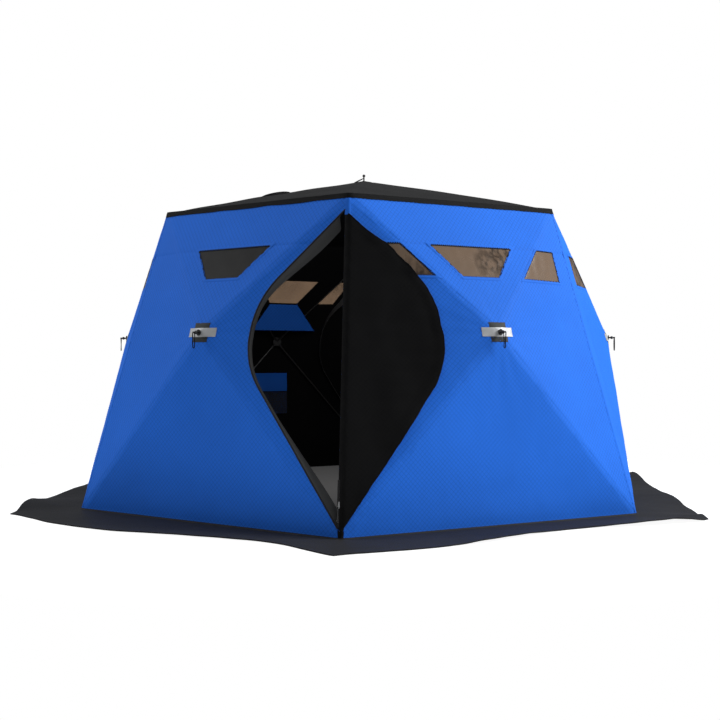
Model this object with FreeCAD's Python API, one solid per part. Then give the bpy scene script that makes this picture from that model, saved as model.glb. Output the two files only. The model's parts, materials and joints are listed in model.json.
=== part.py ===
"""Six-sided pop-up ice fishing shelter, in millimetres, +Z up.

The origin is the middle of the floor plan, on the ground. Corner 0 is the front corner, on -Y, and corners
1 to 5 follow anticlockwise seen from above. Wall k stands between corner k and corner k + 1. On a wall,
"along" runs level from its middle towards corner k + 1, "out" is the distance from the vertical axis
measured square to the wall, and "up" is the height.
"""

import FreeCAD
import Part
import math
import os

from FreeCAD import Vector

# Driving dimensions of the tent.
EAVE_HEIGHT = 1840.0
PEAK_HEIGHT = 2150.0
HUB_HEIGHT = 1068.0
GROUND_RADIUS = 1927.0
EAVE_RADIUS = 1392.0
SIDES = 6

# Fabric layers. Each layer is scaled about FOCUS, so that neighbouring panels share their edge faces.
FOCUS = Vector(0, 0, 1000)
REACH = 1600.0
FABRIC = 2.4
VINYL = 0.8
SEAM_GAP = 0.2

# Windows.
WINDOW_TOP = 1560.0
WINDOW_BOTTOM = 1383.0
BORDER_WIDTH = 19.0
BORDER_THICK = 1.0
COVER_THICK = 3.0
COVER_DROP = 7.0
COVER_LAP = 6.0
RIDGE_CLEARANCE = 24.0

# Doors.
DOOR_TOP = 1752.0
DOOR_BOTTOM = 56.0
DOOR_GAP = 8.0
DOOR_THICK = 4.0
DOOR_LAP = 8.0
CORNER_STRIP = 18.0
FRONT_DOOR_NOSE = 289.0
REAR_DOOR_NOSE = 354.0
PLACKET_DEPTH = 42.0
PLACKET_THICK = 2.5
PLACKET_TOP = 1640.0
PLACKET_BOTTOM = 230.0

# Hubs, rods and corner sockets.
ROD_RADIUS = 5.5
ROD_FIT = 0.15
SOCKET_RADIUS = 9.5
HUB_INSET = 38.0
HUB_RADIUS = 36.0
HUB_THICK = 22.0
HUB_ARM = 68.0
ROD_START = 34.0
CORNER_ARM = 58.0
CORNER_BOSS_RADIUS = 15.0
CORNER_BOSS_HEIGHT = 26.0
UPPER_SOCKET_RADIUS = 1362.0
UPPER_SOCKET_HEIGHT = 1815.0
LOWER_SOCKET_RADIUS = 1880.0
LOWER_SOCKET_HEIGHT = 40.0

# Outside of a hub.
STEM_RADIUS = 4.0
WASHER_RADIUS = 17.0
WASHER_THICK = 3.0
POST_RADIUS = 5.0
POST_LENGTH = 46.0
BALL_RADIUS = 10.0
WALL_BALL = 24.0
WALL_LOOP_PIN = 41.0
ROOF_BALL = 41.0
ROOF_LOOP_PIN = 25.0
PATCH_SIZE = 108.0
STRIP_LENGTH = 190.0
STRIP_HEIGHT = 50.0
PATCH_THICK = 1.0
LOOP_LENGTH = 92.0
LOOP_WIDTH = 19.2
LOOP_STRAND = 3.4
ROOF_LOOP_DIRECTION = -60.0
ROOF_LOOP_DROOP = 27.5

# Snow skirt.
SKIRT_THICK = 5.0
SKIRT_TIP_RADIUS = 2350.0
SKIRT_MIDDLE = 1935.0

# Roof vent hood.
VENT_DIRECTION = -60.0
VENT_RADIUS = 665.0
VENT_LENGTH = 190.0
VENT_BACK = -60.0
VENT_MOUTH = 88.0
VENT_CREST = 64.0
VENT_LIFT = 22.0

# Storage pocket.
POCKET_LEFT = -105.0
POCKET_RIGHT = 205.0
POCKET_TOP = 808.0
POUCH_TOP = 651.0
POCKET_BOTTOM = 465.0
POCKET_SKIN = 2.0
POCKET_DEPTH = 18.0

# Zip sliders and pulls.
SLIDER_WIDTH = 12.0
SLIDER_LENGTH = 26.0
SLIDER_THICK = 4.0
TONGUE_WIDTH = 4.0
TONGUE_LENGTH = 7.0
FRONT_SLIDER_HEIGHT = 176.0
REAR_SLIDER_PLACE = (-625.0, 1590.0)
PULL_LENGTH = 78.0
PULL_WIDTH = 12.0
PULL_STRAND = 2.6
PIN_PLAY = 0.4

WALL_NAMES = {
    -3: "back_left",
    -2: "left",
    -1: "front_left",
    0: "front_right",
    1: "right",
    2: "back_right",
}
# The doorways by wall and panel, with how far each one's curved edge reaches from the corner edge.
DOORWAYS = {(-1, "right"): FRONT_DOOR_NOSE, (-3, "left"): REAR_DOOR_NOSE}
HALF_TURN = math.pi / SIDES
GROUND_REACH = GROUND_RADIUS * math.cos(HALF_TURN)
PEAK = Vector(0, 0, PEAK_HEIGHT)


# ---------------------------------------------------------------- frame of reference


def wall_directions(wall):
    """The level direction along a wall, and the outward one."""
    angle = (2 * wall + 1) * HALF_TURN
    along = Vector(math.cos(angle), math.sin(angle), 0)
    outward = Vector(math.sin(angle), -math.cos(angle), 0)
    return along, outward


def wall_point(wall, along, out, up):
    level, outward = wall_directions(wall)
    return level * along + outward * out + Vector(0, 0, up)


def corner_point(corner, radius, up):
    angle = 2 * corner * HALF_TURN
    return Vector(radius * math.sin(angle), -radius * math.cos(angle), up)


def wall_corners(wall):
    """The hub point, and the wall's four corners: top left, top right, bottom left, bottom right."""
    return {
        "hub": wall_point(wall, 0, GROUND_REACH, HUB_HEIGHT),
        "top_left": corner_point(wall, EAVE_RADIUS, EAVE_HEIGHT),
        "top_right": corner_point(wall + 1, EAVE_RADIUS, EAVE_HEIGHT),
        "bottom_left": corner_point(wall, GROUND_RADIUS, 0),
        "bottom_right": corner_point(wall + 1, GROUND_RADIUS, 0),
    }


PANEL_CORNERS = {
    "top": ("top_left", "top_right", "hub"),
    "left": ("bottom_left", "top_left", "hub"),
    "right": ("top_right", "bottom_right", "hub"),
    "bottom": ("bottom_right", "bottom_left", "hub"),
}


def panel_triangle(wall, panel):
    corners = wall_corners(wall)
    return [corners[name] for name in PANEL_CORNERS[panel]]


def outward_normal(triangle):
    normal = (triangle[1] - triangle[0]).cross(triangle[2] - triangle[0]).normalize()
    middle = (triangle[0] + triangle[1] + triangle[2]) * (1 / 3)
    return normal if normal.dot(middle - FOCUS) > 0 else normal * -1


def on_panel(wall, panel, along, up):
    """The point of a panel's outer face at this place along the wall and this height."""
    triangle = panel_triangle(wall, panel)
    normal = outward_normal(triangle)
    start = wall_point(wall, along, 0, up)
    outward = wall_directions(wall)[1]
    return start + outward * (normal.dot(triangle[0] - start) / normal.dot(outward))


# ---------------------------------------------------------------- building blocks


def scaled(point, offset):
    """A point moved away from FOCUS by offset, for a point one REACH away from it."""
    return FOCUS + (point - FOCUS) * (1 + offset / REACH)


def polygon_face(points):
    return Part.Face(Part.makePolygon(list(points) + [points[0]]))


def slab(points, outer, inner):
    """A flat-sided plate between two scaled copies of one flat outline."""
    high = [scaled(p, outer) for p in points]
    low = [scaled(p, inner) for p in points]
    faces = [polygon_face(high), polygon_face(low)]
    for i in range(len(points)):
        j = (i + 1) % len(points)
        faces.append(polygon_face([high[i], high[j], low[j], low[i]]))
    solid = Part.makeSolid(Part.makeShell(faces))
    if solid.Volume < 0:
        solid.reverse()
    return solid


def shrunk(points, margin):
    """A convex flat outline with every edge moved inwards by margin, or outwards where it is negative."""
    normal = (points[1] - points[0]).cross(points[2] - points[0]).normalize()
    count = len(points)
    lines = []
    for i in range(count):
        direction = (points[(i + 1) % count] - points[i]).normalize()
        lines.append((points[i] + normal.cross(direction) * margin, direction))
    result = []
    for i in range(count):
        start, direction = lines[i - 1]
        other, across = lines[i]
        side = normal.cross(across)
        result.append(start + direction * (side.dot(other - start) / side.dot(direction)))
    return result


def cylinder(start, end, radius):
    axis = end - start
    return Part.makeCylinder(radius, axis.Length, start, axis)


def brick(wall, along, out, up):
    """A box square to a wall, from pairs of limits along, out and up."""
    base = [(along[0], out[0]), (along[1], out[0]), (along[1], out[1]), (along[0], out[1])]
    face = polygon_face([wall_point(wall, a, o, up[0]) for a, o in base])
    return face.extrude(Vector(0, 0, up[1] - up[0]))


def save(name, *solids):
    shape = solids[0] if len(solids) == 1 else Part.makeCompound(list(solids))
    if not shape.isValid() or min(solid.Volume for solid in shape.Solids) <= 0:
        raise ValueError(f"{name} is not a sound solid")
    shape.exportStep(f"parts/{name}.step")
    return shape


# ---------------------------------------------------------------- windows

# Each window is its corners as (along, up) on its panel, from the bottom left, anticlockwise.
TOP_WINDOW = [(-119, WINDOW_BOTTOM), (119, WINDOW_BOTTOM), (266, WINDOW_TOP), (-266, WINDOW_TOP)]
RIGHT_WINDOW = [(301, WINDOW_BOTTOM), (628, WINDOW_BOTTOM), (612, WINDOW_TOP), (461, WINDOW_TOP)]
NARROW_WINDOW = [(301, WINDOW_BOTTOM), (424, WINDOW_BOTTOM), (539, WINDOW_TOP), (461, WINDOW_TOP)]


def mirrored_window(window):
    return [(-along, up) for along, up in (window[1], window[0], window[3], window[2])]


ALL_WINDOWS = {"top": TOP_WINDOW, "right": RIGHT_WINDOW, "left": mirrored_window(RIGHT_WINDOW)}
WALL_WINDOWS = {
    -3: {"top": TOP_WINDOW, "left": mirrored_window(NARROW_WINDOW)},
    -2: ALL_WINDOWS,
    -1: {"top": TOP_WINDOW},
    0: ALL_WINDOWS,
    1: ALL_WINDOWS,
    2: ALL_WINDOWS,
}
CLOSED_COVERS = [(-1, "top")]
UNCOVERED_WINDOWS = [(-3, "left")]


def covered_windows(wall):
    """The windows with a cover: the narrow one beside the rear doorway has no room for it to hang."""
    return [panel for panel in WALL_WINDOWS[wall] if (wall, panel) not in UNCOVERED_WINDOWS]


def window_outline(wall, panel):
    return [on_panel(wall, panel, along, up) for along, up in WALL_WINDOWS[wall][panel]]


def window_panes():
    panes = []
    for wall, windows in WALL_WINDOWS.items():
        for panel in windows:
            middle = -FABRIC / 2
            panes.append(slab(window_outline(wall, panel), middle + VINYL / 2, middle - VINYL / 2))
    return panes


def window_borders():
    borders = []
    for wall, windows in WALL_WINDOWS.items():
        for panel in windows:
            inner = window_outline(wall, panel)
            outer = slab(shrunk(inner, -BORDER_WIDTH), BORDER_THICK + SEAM_GAP, SEAM_GAP)
            panel_space = slab(panel_triangle(wall, panel), 3 * BORDER_THICK, -BORDER_THICK)
            borders.append(outer.cut(slab(inner, 3 * BORDER_THICK, -FABRIC)).common(panel_space))
    return borders


def cover_outline(wall, panel):
    """The closed cover: a little larger than its window, but clear of the rod along the ridge."""
    outline = polygon_face(shrunk(window_outline(wall, panel), -COVER_LAP))
    clear = slab(shrunk(panel_triangle(wall, panel), RIDGE_CLEARANCE), FABRIC, -FABRIC)
    return [vertex.Point for vertex in outline.common(clear).Faces[0].OuterWire.OrderedVertexes]


def cover_hinge(wall, panel):
    """A cover's hinge: a point, its axis, and the turn in degrees from hanging straight down to closed."""
    outline = cover_outline(wall, panel)
    lowest = min(point.z for point in outline)
    first, second = [point for point in outline if point.z < lowest + 1]
    normal = outward_normal(panel_triangle(wall, panel))
    place = (first + second) * 0.5 - normal * (FABRIC + COVER_DROP - COVER_THICK / 2)
    axis = (second - first).normalize()
    if axis.cross(Vector(0, 0, -1)).dot(normal) > 0:
        axis = axis * -1
    climb = normal.cross(axis)
    turn = 180 - math.degrees(math.acos(abs(climb.z)))
    return place, axis, turn


def window_cover(wall, panel):
    """A fabric flap inside the window, hinged on its bottom edge: hanging straight down, or closed."""
    normal = outward_normal(panel_triangle(wall, panel))
    depth = normal * (FABRIC + COVER_DROP)
    outline = [point - depth for point in cover_outline(wall, panel)]
    closed = polygon_face(outline).extrude(normal * COVER_THICK)
    place, axis, turn = cover_hinge(wall, panel)
    return closed if (wall, panel) in CLOSED_COVERS else closed.rotated(place, axis, -turn)


# ---------------------------------------------------------------- doors


def door_side(wall, panel, along, up, shift):
    """A point of the door's outline, moved by shift away from its hinge corner."""
    sign = 1 if panel == "right" else -1
    return on_panel(wall, panel, sign * (along - shift), up)


def corner_along(up):
    """How far along a wall its corner edge is at this height."""
    share = up / EAVE_HEIGHT
    return (GROUND_RADIUS * (1 - share) + EAVE_RADIUS * share) * math.sin(HALF_TURN)


def door_face(wall, panel, nose, grow=0.0, strip=CORNER_STRIP):
    """The D-shaped opening beside a corner edge, grown by an amount on its zipped side."""
    top, bottom = DOOR_TOP + grow, DOOR_BOTTOM - grow
    upper_bend = nose + 122
    lower_bend = nose + 98
    tip = door_side(wall, panel, corner_along(top) - strip, top, 0)
    upper = door_side(wall, panel, upper_bend, 1400, grow)
    middle = door_side(wall, panel, nose, 1120, grow)
    lower = door_side(wall, panel, lower_bend, 772, grow)
    toe = door_side(wall, panel, corner_along(bottom) - strip, bottom, 0)
    edges = [
        Part.makeLine(tip, upper),
        Part.Arc(upper, middle, lower).toShape(),
        Part.makeLine(lower, toe),
        Part.makeLine(toe, tip),
    ]
    return Part.Face(Part.Wire(edges))


def door_opening(wall, panel, nose):
    normal = outward_normal(panel_triangle(wall, panel))
    face = door_face(wall, panel, nose)
    return face.translated(normal * -FABRIC * 3).extrude(normal * FABRIC * 6)


def door_panel(wall, panel, nose):
    """The closed door, lying just off the outer face of its wall, from the hinge axis to past the zip."""
    normal = outward_normal(panel_triangle(wall, panel))
    face = door_face(wall, panel, nose, DOOR_LAP, strip=0)
    return face.translated(normal * DOOR_GAP).extrude(normal * DOOR_THICK)


def door_placket(wall, panel, nose):
    """The facing sewn to the inside of the opening's zipped edge, standing into the tent."""
    normal = outward_normal(panel_triangle(wall, panel))
    depth = normal * -PLACKET_DEPTH
    start = normal * -(FABRIC + SEAM_GAP)
    outer = door_face(wall, panel, nose, PLACKET_THICK).translated(start).extrude(depth)
    inner = door_face(wall, panel, nose).translated(start * 0.5).extrude(depth * 1.2)
    keep = brick(wall, (-GROUND_RADIUS, GROUND_RADIUS), (0, GROUND_RADIUS), (PLACKET_BOTTOM, PLACKET_TOP))
    pieces = outer.cut(inner).common(keep).Solids
    return max(pieces, key=lambda piece: piece.Volume)


def hinge_line(corner):
    """The door's hinge axis beside a corner edge: its lower end, its direction, its full swing in degrees."""
    first = outward_normal(panel_triangle(corner - 1, "right"))
    second = outward_normal(panel_triangle(corner, "left"))
    bisector = (first + second).normalize()
    offset = bisector * ((DOOR_GAP + DOOR_THICK / 2) / bisector.dot(first))
    low = corner_point(corner, GROUND_RADIUS, 0) + offset
    high = corner_point(corner, EAVE_RADIUS, EAVE_HEIGHT) + offset
    swing = 180 + math.degrees(math.acos(first.dot(second)))
    return low, (high - low).normalize(), swing


def zip_slider(place, down, normal):
    """A metal slider lying on a zip, with a tongue at its lower end that holds the pull."""
    side = down.cross(normal).normalize()
    body = oriented_box(place, side, down, normal, (SLIDER_WIDTH, SLIDER_LENGTH, SLIDER_THICK))
    pin = slider_pin(place, down)
    size = (TONGUE_WIDTH, 2 * TONGUE_LENGTH, SLIDER_THICK)
    tongue = oriented_box(place + down * SLIDER_LENGTH / 2, side, down, normal, size)
    hole = cylinder(pin - side * SLIDER_WIDTH, pin + side * SLIDER_WIDTH, PULL_STRAND / 2 + PIN_PLAY / 2)
    return body.fuse(tongue).cut(hole)


def slider_pin(place, down):
    """The point in a slider's tongue that its pull swings about."""
    return place + down * (SLIDER_LENGTH / 2 + TONGUE_LENGTH / 2 + 1)


def hanging_loop(pin, hang, across, width, length, strand):
    """Two strands joined by a bar through their holder at the pin, and by a bend at the far end."""
    normal = hang.cross(across).normalize()
    centre = pin + hang * ((length - strand) / 2)
    outer = oriented_box(centre, across, hang, normal, (width, length, strand))
    inner_width = width - 2 * strand
    inner = oriented_box(centre - hang * strand, across, hang, normal, (inner_width, length, strand * 3))
    bar = cylinder(pin - across * (inner_width / 2), pin + across * (inner_width / 2), strand / 2)
    return outer.cut(inner).fuse(bar)


def oriented_box(centre, side, down, normal, size):
    half = [side * (size[0] / 2), down * (size[1] / 2), normal * (size[2] / 2)]
    base = centre - half[2]
    corners = [base + half[0] * right + half[1] * low for right, low in ((-1, -1), (1, -1), (1, 1), (-1, 1))]
    return polygon_face(corners).extrude(half[2] * 2)


def steepest_down(normal):
    """The direction straight down the face that has this normal."""
    fall = Vector(0, 0, -1)
    return (fall - normal * fall.dot(normal)).normalize()


def front_slider_place():
    """The middle and face normal of the slider on the corner strip, below the hem, where the zip ends."""
    normal = outward_normal(panel_triangle(-1, "right"))
    along = corner_along(FRONT_SLIDER_HEIGHT) - CORNER_STRIP * 0.7
    return on_panel(-1, "right", along, FRONT_SLIDER_HEIGHT) + normal * (SLIDER_THICK / 2 + 0.5), normal


def rear_slider_place():
    """On the closed rear door's outer face, near the top of its zip: its middle and its face's normal."""
    normal = outward_normal(panel_triangle(-3, "left"))
    lift = DOOR_GAP + DOOR_THICK + SLIDER_THICK / 2 + 0.5
    return on_panel(-3, "left", *REAR_SLIDER_PLACE) + normal * lift, normal


def zip_pull(place, down, normal):
    side = down.cross(normal).normalize()
    return hanging_loop(slider_pin(place, down), down, side, PULL_WIDTH, PULL_LENGTH, PULL_STRAND)


# ---------------------------------------------------------------- frame


def hub_centre(wall):
    return wall_point(wall, 0, GROUND_REACH - HUB_INSET, HUB_HEIGHT)


def roof_hub_centre():
    return PEAK - Vector(0, 0, HUB_INSET + 6)


def upper_socket_centre(corner):
    return corner_point(corner, UPPER_SOCKET_RADIUS, UPPER_SOCKET_HEIGHT)


def lower_socket_centre(corner):
    return corner_point(corner, LOWER_SOCKET_RADIUS, LOWER_SOCKET_HEIGHT)


def socketed(core, centre, targets, arm_length):
    """A core with one round socket towards each target, bored to take a rod's end."""
    arms = []
    bores = []
    for target in targets:
        direction = (target - centre).normalize()
        arms.append(cylinder(centre, centre + direction * arm_length, SOCKET_RADIUS))
        start = centre + direction * (ROD_START - 2)
        bores.append(cylinder(start, centre + direction * (arm_length + 5), ROD_RADIUS + ROD_FIT))
    return core.fuse(arms).cut(Part.makeCompound(bores)).removeSplitter()


def wall_hub(wall):
    centre = hub_centre(wall)
    outward = wall_directions(wall)[1]
    core = cylinder(centre - outward * (HUB_THICK / 2), centre + outward * (HUB_THICK / 2), HUB_RADIUS)
    targets = rod_targets(wall)
    stem = cylinder(centre - outward * 6, centre + outward * HUB_INSET, STEM_RADIUS)
    return socketed(core, centre, targets, HUB_ARM).cut(stem)


def rod_targets(wall):
    upper = [upper_socket_centre(wall), upper_socket_centre(wall + 1)]
    return upper + [lower_socket_centre(wall), lower_socket_centre(wall + 1)]


def roof_hub():
    centre = roof_hub_centre()
    lift = Vector(0, 0, HUB_THICK / 2)
    core = cylinder(centre - lift, centre + lift, HUB_RADIUS)
    targets = [upper_socket_centre(corner) for corner in range(SIDES)]
    stem = cylinder(centre - Vector(0, 0, 6), PEAK, STEM_RADIUS)
    return socketed(core, centre, targets, HUB_ARM).cut(stem)


def rod(start, end):
    direction = (end - start).normalize()
    return cylinder(start + direction * ROD_START, end - direction * ROD_START, ROD_RADIUS)


def upper_socket(corner):
    centre = upper_socket_centre(corner)
    targets = [hub_centre(corner - 1), hub_centre(corner), roof_hub_centre()]
    lift = Vector(0, 0, CORNER_BOSS_HEIGHT / 2)
    return socketed(cylinder(centre - lift, centre + lift, CORNER_BOSS_RADIUS), centre, targets, CORNER_ARM)


def lower_socket(corner):
    centre = lower_socket_centre(corner)
    targets = [hub_centre(corner - 1), hub_centre(corner)]
    foot = centre - Vector(0, 0, LOWER_SOCKET_HEIGHT - 1)
    top = centre + Vector(0, 0, CORNER_BOSS_HEIGHT / 2)
    return socketed(cylinder(foot, top, CORNER_BOSS_RADIUS), centre, targets, CORNER_ARM)


# ---------------------------------------------------------------- outside of the hubs


def hub_post(start, direction, across, ball_place, pin_place, stem_length):
    """The washer, post and ball outside a hub, with the stem that runs back through the fabric."""
    washer = cylinder(start, start + direction * WASHER_THICK, WASHER_RADIUS)
    post = cylinder(start, start + direction * POST_LENGTH, POST_RADIUS)
    ball = Part.makeSphere(BALL_RADIUS, start + direction * ball_place)
    stem = cylinder(start - direction * stem_length, start, STEM_RADIUS - ROD_FIT)
    pin = start + direction * pin_place
    hole = cylinder(pin - across * BALL_RADIUS, pin + across * BALL_RADIUS, LOOP_STRAND / 2 + PIN_PLAY)
    return washer.fuse([post, ball, stem]).cut(hole)


def post_start(wall):
    """The back of a wall hub's outside washer."""
    return wall_point(wall, 0, GROUND_REACH + 3.2, HUB_HEIGHT)


def roof_post_start():
    return PEAK + Vector(0, 0, 1)


def wall_loop_pin(wall):
    return post_start(wall) + wall_directions(wall)[1] * WALL_LOOP_PIN


def roof_loop_pin():
    return roof_post_start() + Vector(0, 0, ROOF_LOOP_PIN)


def roof_loop_directions():
    """The direction in which the roof's loop lies down the roof, and the level one across it."""
    heading = math.radians(ROOF_LOOP_DIRECTION)
    droop = math.radians(ROOF_LOOP_DROOP)
    level = Vector(math.sin(heading), -math.cos(heading), 0)
    across = Vector(math.cos(heading), math.sin(heading), 0)
    return level * math.cos(droop) - Vector(0, 0, math.sin(droop)), across


def pull_loop(pin, hang, across):
    return hanging_loop(pin, hang, across, LOOP_WIDTH, LOOP_LENGTH, LOOP_STRAND)


def layered_patch(wall, length, height, inner):
    """A patch that lies on a wall's four panels round its hub, with a hole for the stem."""
    limits = (HUB_HEIGHT - height / 2, HUB_HEIGHT + height / 2)
    window = brick(wall, (-length / 2, length / 2), (0, 2 * GROUND_REACH), limits)
    plates = [slab(panel_triangle(wall, panel), inner + PATCH_THICK, inner) for panel in PANEL_CORNERS]
    return plates[0].fuse(plates[1:]).common(window).cut(stem_hole(wall))


def stem_hole(wall):
    centre = hub_centre(wall)
    return cylinder(centre, centre + wall_directions(wall)[1] * 100, STEM_RADIUS + 0.3)


# ---------------------------------------------------------------- shell


def wall_shell(wall):
    """Four triangular panels, cut out for the windows, a doorway and the hub's stem."""
    panels = []
    for panel in PANEL_CORNERS:
        plate = slab(shrunk(panel_triangle(wall, panel), SEAM_GAP / 2), 0, -FABRIC).cut(stem_hole(wall))
        if panel in WALL_WINDOWS[wall]:
            plate = plate.cut(slab(window_outline(wall, panel), FABRIC, -3 * FABRIC))
        if (wall, panel) in DOORWAYS:
            plate = plate.cut(door_opening(wall, panel, DOORWAYS[wall, panel]))
        panels.append(plate)
    return panels


def roof_panels():
    stem = cylinder(roof_hub_centre(), PEAK + Vector(0, 0, 50), STEM_RADIUS + 0.3)
    panels = []
    for wall in range(SIDES):
        triangle = [
            corner_point(wall, EAVE_RADIUS, EAVE_HEIGHT),
            corner_point(wall + 1, EAVE_RADIUS, EAVE_HEIGHT),
            PEAK,
        ]
        panels.append(slab(shrunk(triangle, SEAM_GAP / 2), 0, -FABRIC * 1.4).cut(stem))
    return panels


def roof_vent():
    """A low hood across a roof ridge, with its mouth on one side, cut to sit on the roof."""
    angle = math.radians(VENT_DIRECTION)
    outward = Vector(math.sin(angle), -math.cos(angle), 0)
    side = Vector(math.cos(angle), math.sin(angle), 0)
    slope = (PEAK_HEIGHT - EAVE_HEIGHT) / EAVE_RADIUS
    half = VENT_LENGTH / 2

    def place(out, across, lift):
        distance = VENT_RADIUS + out
        return outward * distance + side * across + Vector(0, 0, PEAK_HEIGHT - slope * distance + lift)

    base = [
        place(-half, VENT_BACK, -40),
        place(half, VENT_BACK, -40),
        place(half, VENT_MOUTH, -40),
        place(-half, VENT_MOUTH, -40),
    ]
    crest = [place(half * 0.6, VENT_CREST, VENT_LIFT), place(-half * 0.6, VENT_CREST, VENT_LIFT)]
    faces = [
        polygon_face(base),
        polygon_face([base[0], base[1], crest[0], crest[1]]),
        polygon_face([base[2], base[3], crest[1], crest[0]]),
        polygon_face([base[1], base[2], crest[0]]),
        polygon_face([base[3], base[0], crest[1]]),
    ]
    hood = Part.makeSolid(Part.makeShell(faces))
    if hood.Volume < 0:
        hood.reverse()
    rim = [corner_point(corner, EAVE_RADIUS, EAVE_HEIGHT + 1) for corner in range(SIDES)]
    floor = polygon_face(rim)
    sides = [polygon_face([rim[i - 1], rim[i], PEAK + Vector(0, 0, 1)]) for i in range(SIDES)]
    roof_space = Part.makeSolid(Part.makeShell([floor] + sides))
    if roof_space.Volume < 0:
        roof_space.reverse()
    return max(hood.cut(roof_space).Solids, key=lambda piece: piece.Volume)


def skirt_plates():
    """The skirt's twelve flat halves, pointed at the corners and drawn in between them."""
    plates = []
    inner = GROUND_REACH + 1.0
    for wall in range(SIDES):
        for sign in (-1, 1):
            corner = (sign * inner * math.tan(HALF_TURN), inner)
            tip = (sign * SKIRT_TIP_RADIUS * math.sin(HALF_TURN), SKIRT_TIP_RADIUS * math.cos(HALF_TURN))
            outline = [(sign * SEAM_GAP, inner), corner, tip, (sign * SEAM_GAP, SKIRT_MIDDLE)]
            face = polygon_face([wall_point(wall, along, out, 0) for along, out in outline])
            plates.append(face.extrude(Vector(0, 0, SKIRT_THICK)))
    return plates


def storage_pocket():
    """A back panel on the wall, with an open-topped pouch on its lower half."""
    wall = -3
    back = GROUND_REACH - FABRIC * 1.5
    front = back - POCKET_DEPTH
    along = (POCKET_LEFT, POCKET_RIGHT)
    panel = brick(wall, along, (back - POCKET_SKIN, back), (POCKET_BOTTOM, POCKET_TOP))
    pouch = brick(wall, along, (front, back), (POCKET_BOTTOM, POUCH_TOP))
    inside = (POCKET_LEFT + POCKET_SKIN, POCKET_RIGHT - POCKET_SKIN)
    depth = (front + POCKET_SKIN, back - POCKET_SKIN)
    hollow = brick(wall, inside, depth, (POCKET_BOTTOM + POCKET_SKIN, POCKET_TOP))
    return panel.fuse(pouch).cut(hollow)


# ---------------------------------------------------------------- build every piece


def save_walls():
    """What each of the six walls has of its own."""
    for wall, name in WALL_NAMES.items():
        along = wall_directions(wall)[0]
        save(f"wall_{name}", *wall_shell(wall))
        save(f"hub_{name}", wall_hub(wall))
        save(f"rods_{name}", *[rod(hub_centre(wall), target) for target in rod_targets(wall)])
        save(f"pull_loop_{name}", pull_loop(wall_loop_pin(wall), Vector(0, 0, -1), along))
        for panel in covered_windows(wall):
            save(f"cover_{name}_{panel}", window_cover(wall, panel))


def save_roof():
    save("roof", *roof_panels())
    save("roof_vent", roof_vent())
    save("hub_roof", roof_hub())
    save("rods_roof", *[rod(roof_hub_centre(), upper_socket_centre(corner)) for corner in range(SIDES)])
    hang, across = roof_loop_directions()
    save("pull_loop_roof", pull_loop(roof_loop_pin(), hang, across))


def save_doors():
    """The front door is saved folded back open, which mirrors its closed place; the rear door is closed."""
    save("front_door", door_panel(-1, "right", FRONT_DOOR_NOSE).mirror(Vector(0, 0, 0), Vector(1, 0, 0)))
    save("rear_door", door_panel(-3, "left", REAR_DOOR_NOSE))
    save("door_plackets", *[door_placket(*doorway, nose) for doorway, nose in DOORWAYS.items()])
    for name, (place, normal) in (("front", front_slider_place()), ("rear", rear_slider_place())):
        down = steepest_down(normal)
        save(f"{name}_zip_slider", zip_slider(place, down, normal))
        save(f"{name}_zip_pull", zip_pull(place, down, normal))


def save_shared():
    """Groups of identical pieces, and the single pieces."""
    walls = list(WALL_NAMES)
    posts = []
    for wall in walls:
        along, outward = wall_directions(wall)
        posts.append(hub_post(post_start(wall), outward, along, WALL_BALL, WALL_LOOP_PIN, HUB_INSET + 6))
    across = roof_loop_directions()[1]
    roof_ends = (ROOF_BALL, ROOF_LOOP_PIN, HUB_INSET + 8)
    posts.append(hub_post(roof_post_start(), Vector(0, 0, 1), across, *roof_ends))
    save("hub_posts", *posts)
    save("hub_patches", *[layered_patch(wall, PATCH_SIZE, PATCH_SIZE, SEAM_GAP) for wall in walls])
    strip_start = PATCH_THICK + 2 * SEAM_GAP
    save("reflective_strips", *[layered_patch(w, STRIP_LENGTH, STRIP_HEIGHT, strip_start) for w in walls])
    save("window_panes", *window_panes())
    save("window_borders", *window_borders())
    save("upper_sockets", *[upper_socket(corner) for corner in range(SIDES)])
    save("lower_sockets", *[lower_socket(corner) for corner in range(SIDES)])
    save("snow_skirt", *skirt_plates())
    save("storage_pocket", storage_pocket())


if __name__ == "__main__":
    os.makedirs("parts", exist_ok=True)
    save_walls()
    save_roof()
    save_doors()
    save_shared()
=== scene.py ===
"""Looks for a six-sided pop-up ice fishing shelter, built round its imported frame. Metres, +Z up.

The origin is the middle of the floor plan. Wall k stands between corner k and corner k + 1; corner 0 is the
front corner, on -Y, and the corners follow anticlockwise seen from above. On a wall, s runs level from its
middle towards corner k + 1, z is the height, and lift is the distance off the fabric's outer face.
"""

import json
import math

import bpy
import numpy as np
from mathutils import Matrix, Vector
from mathutils.geometry import convex_hull_2d, delaunay_2d_cdt


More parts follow.
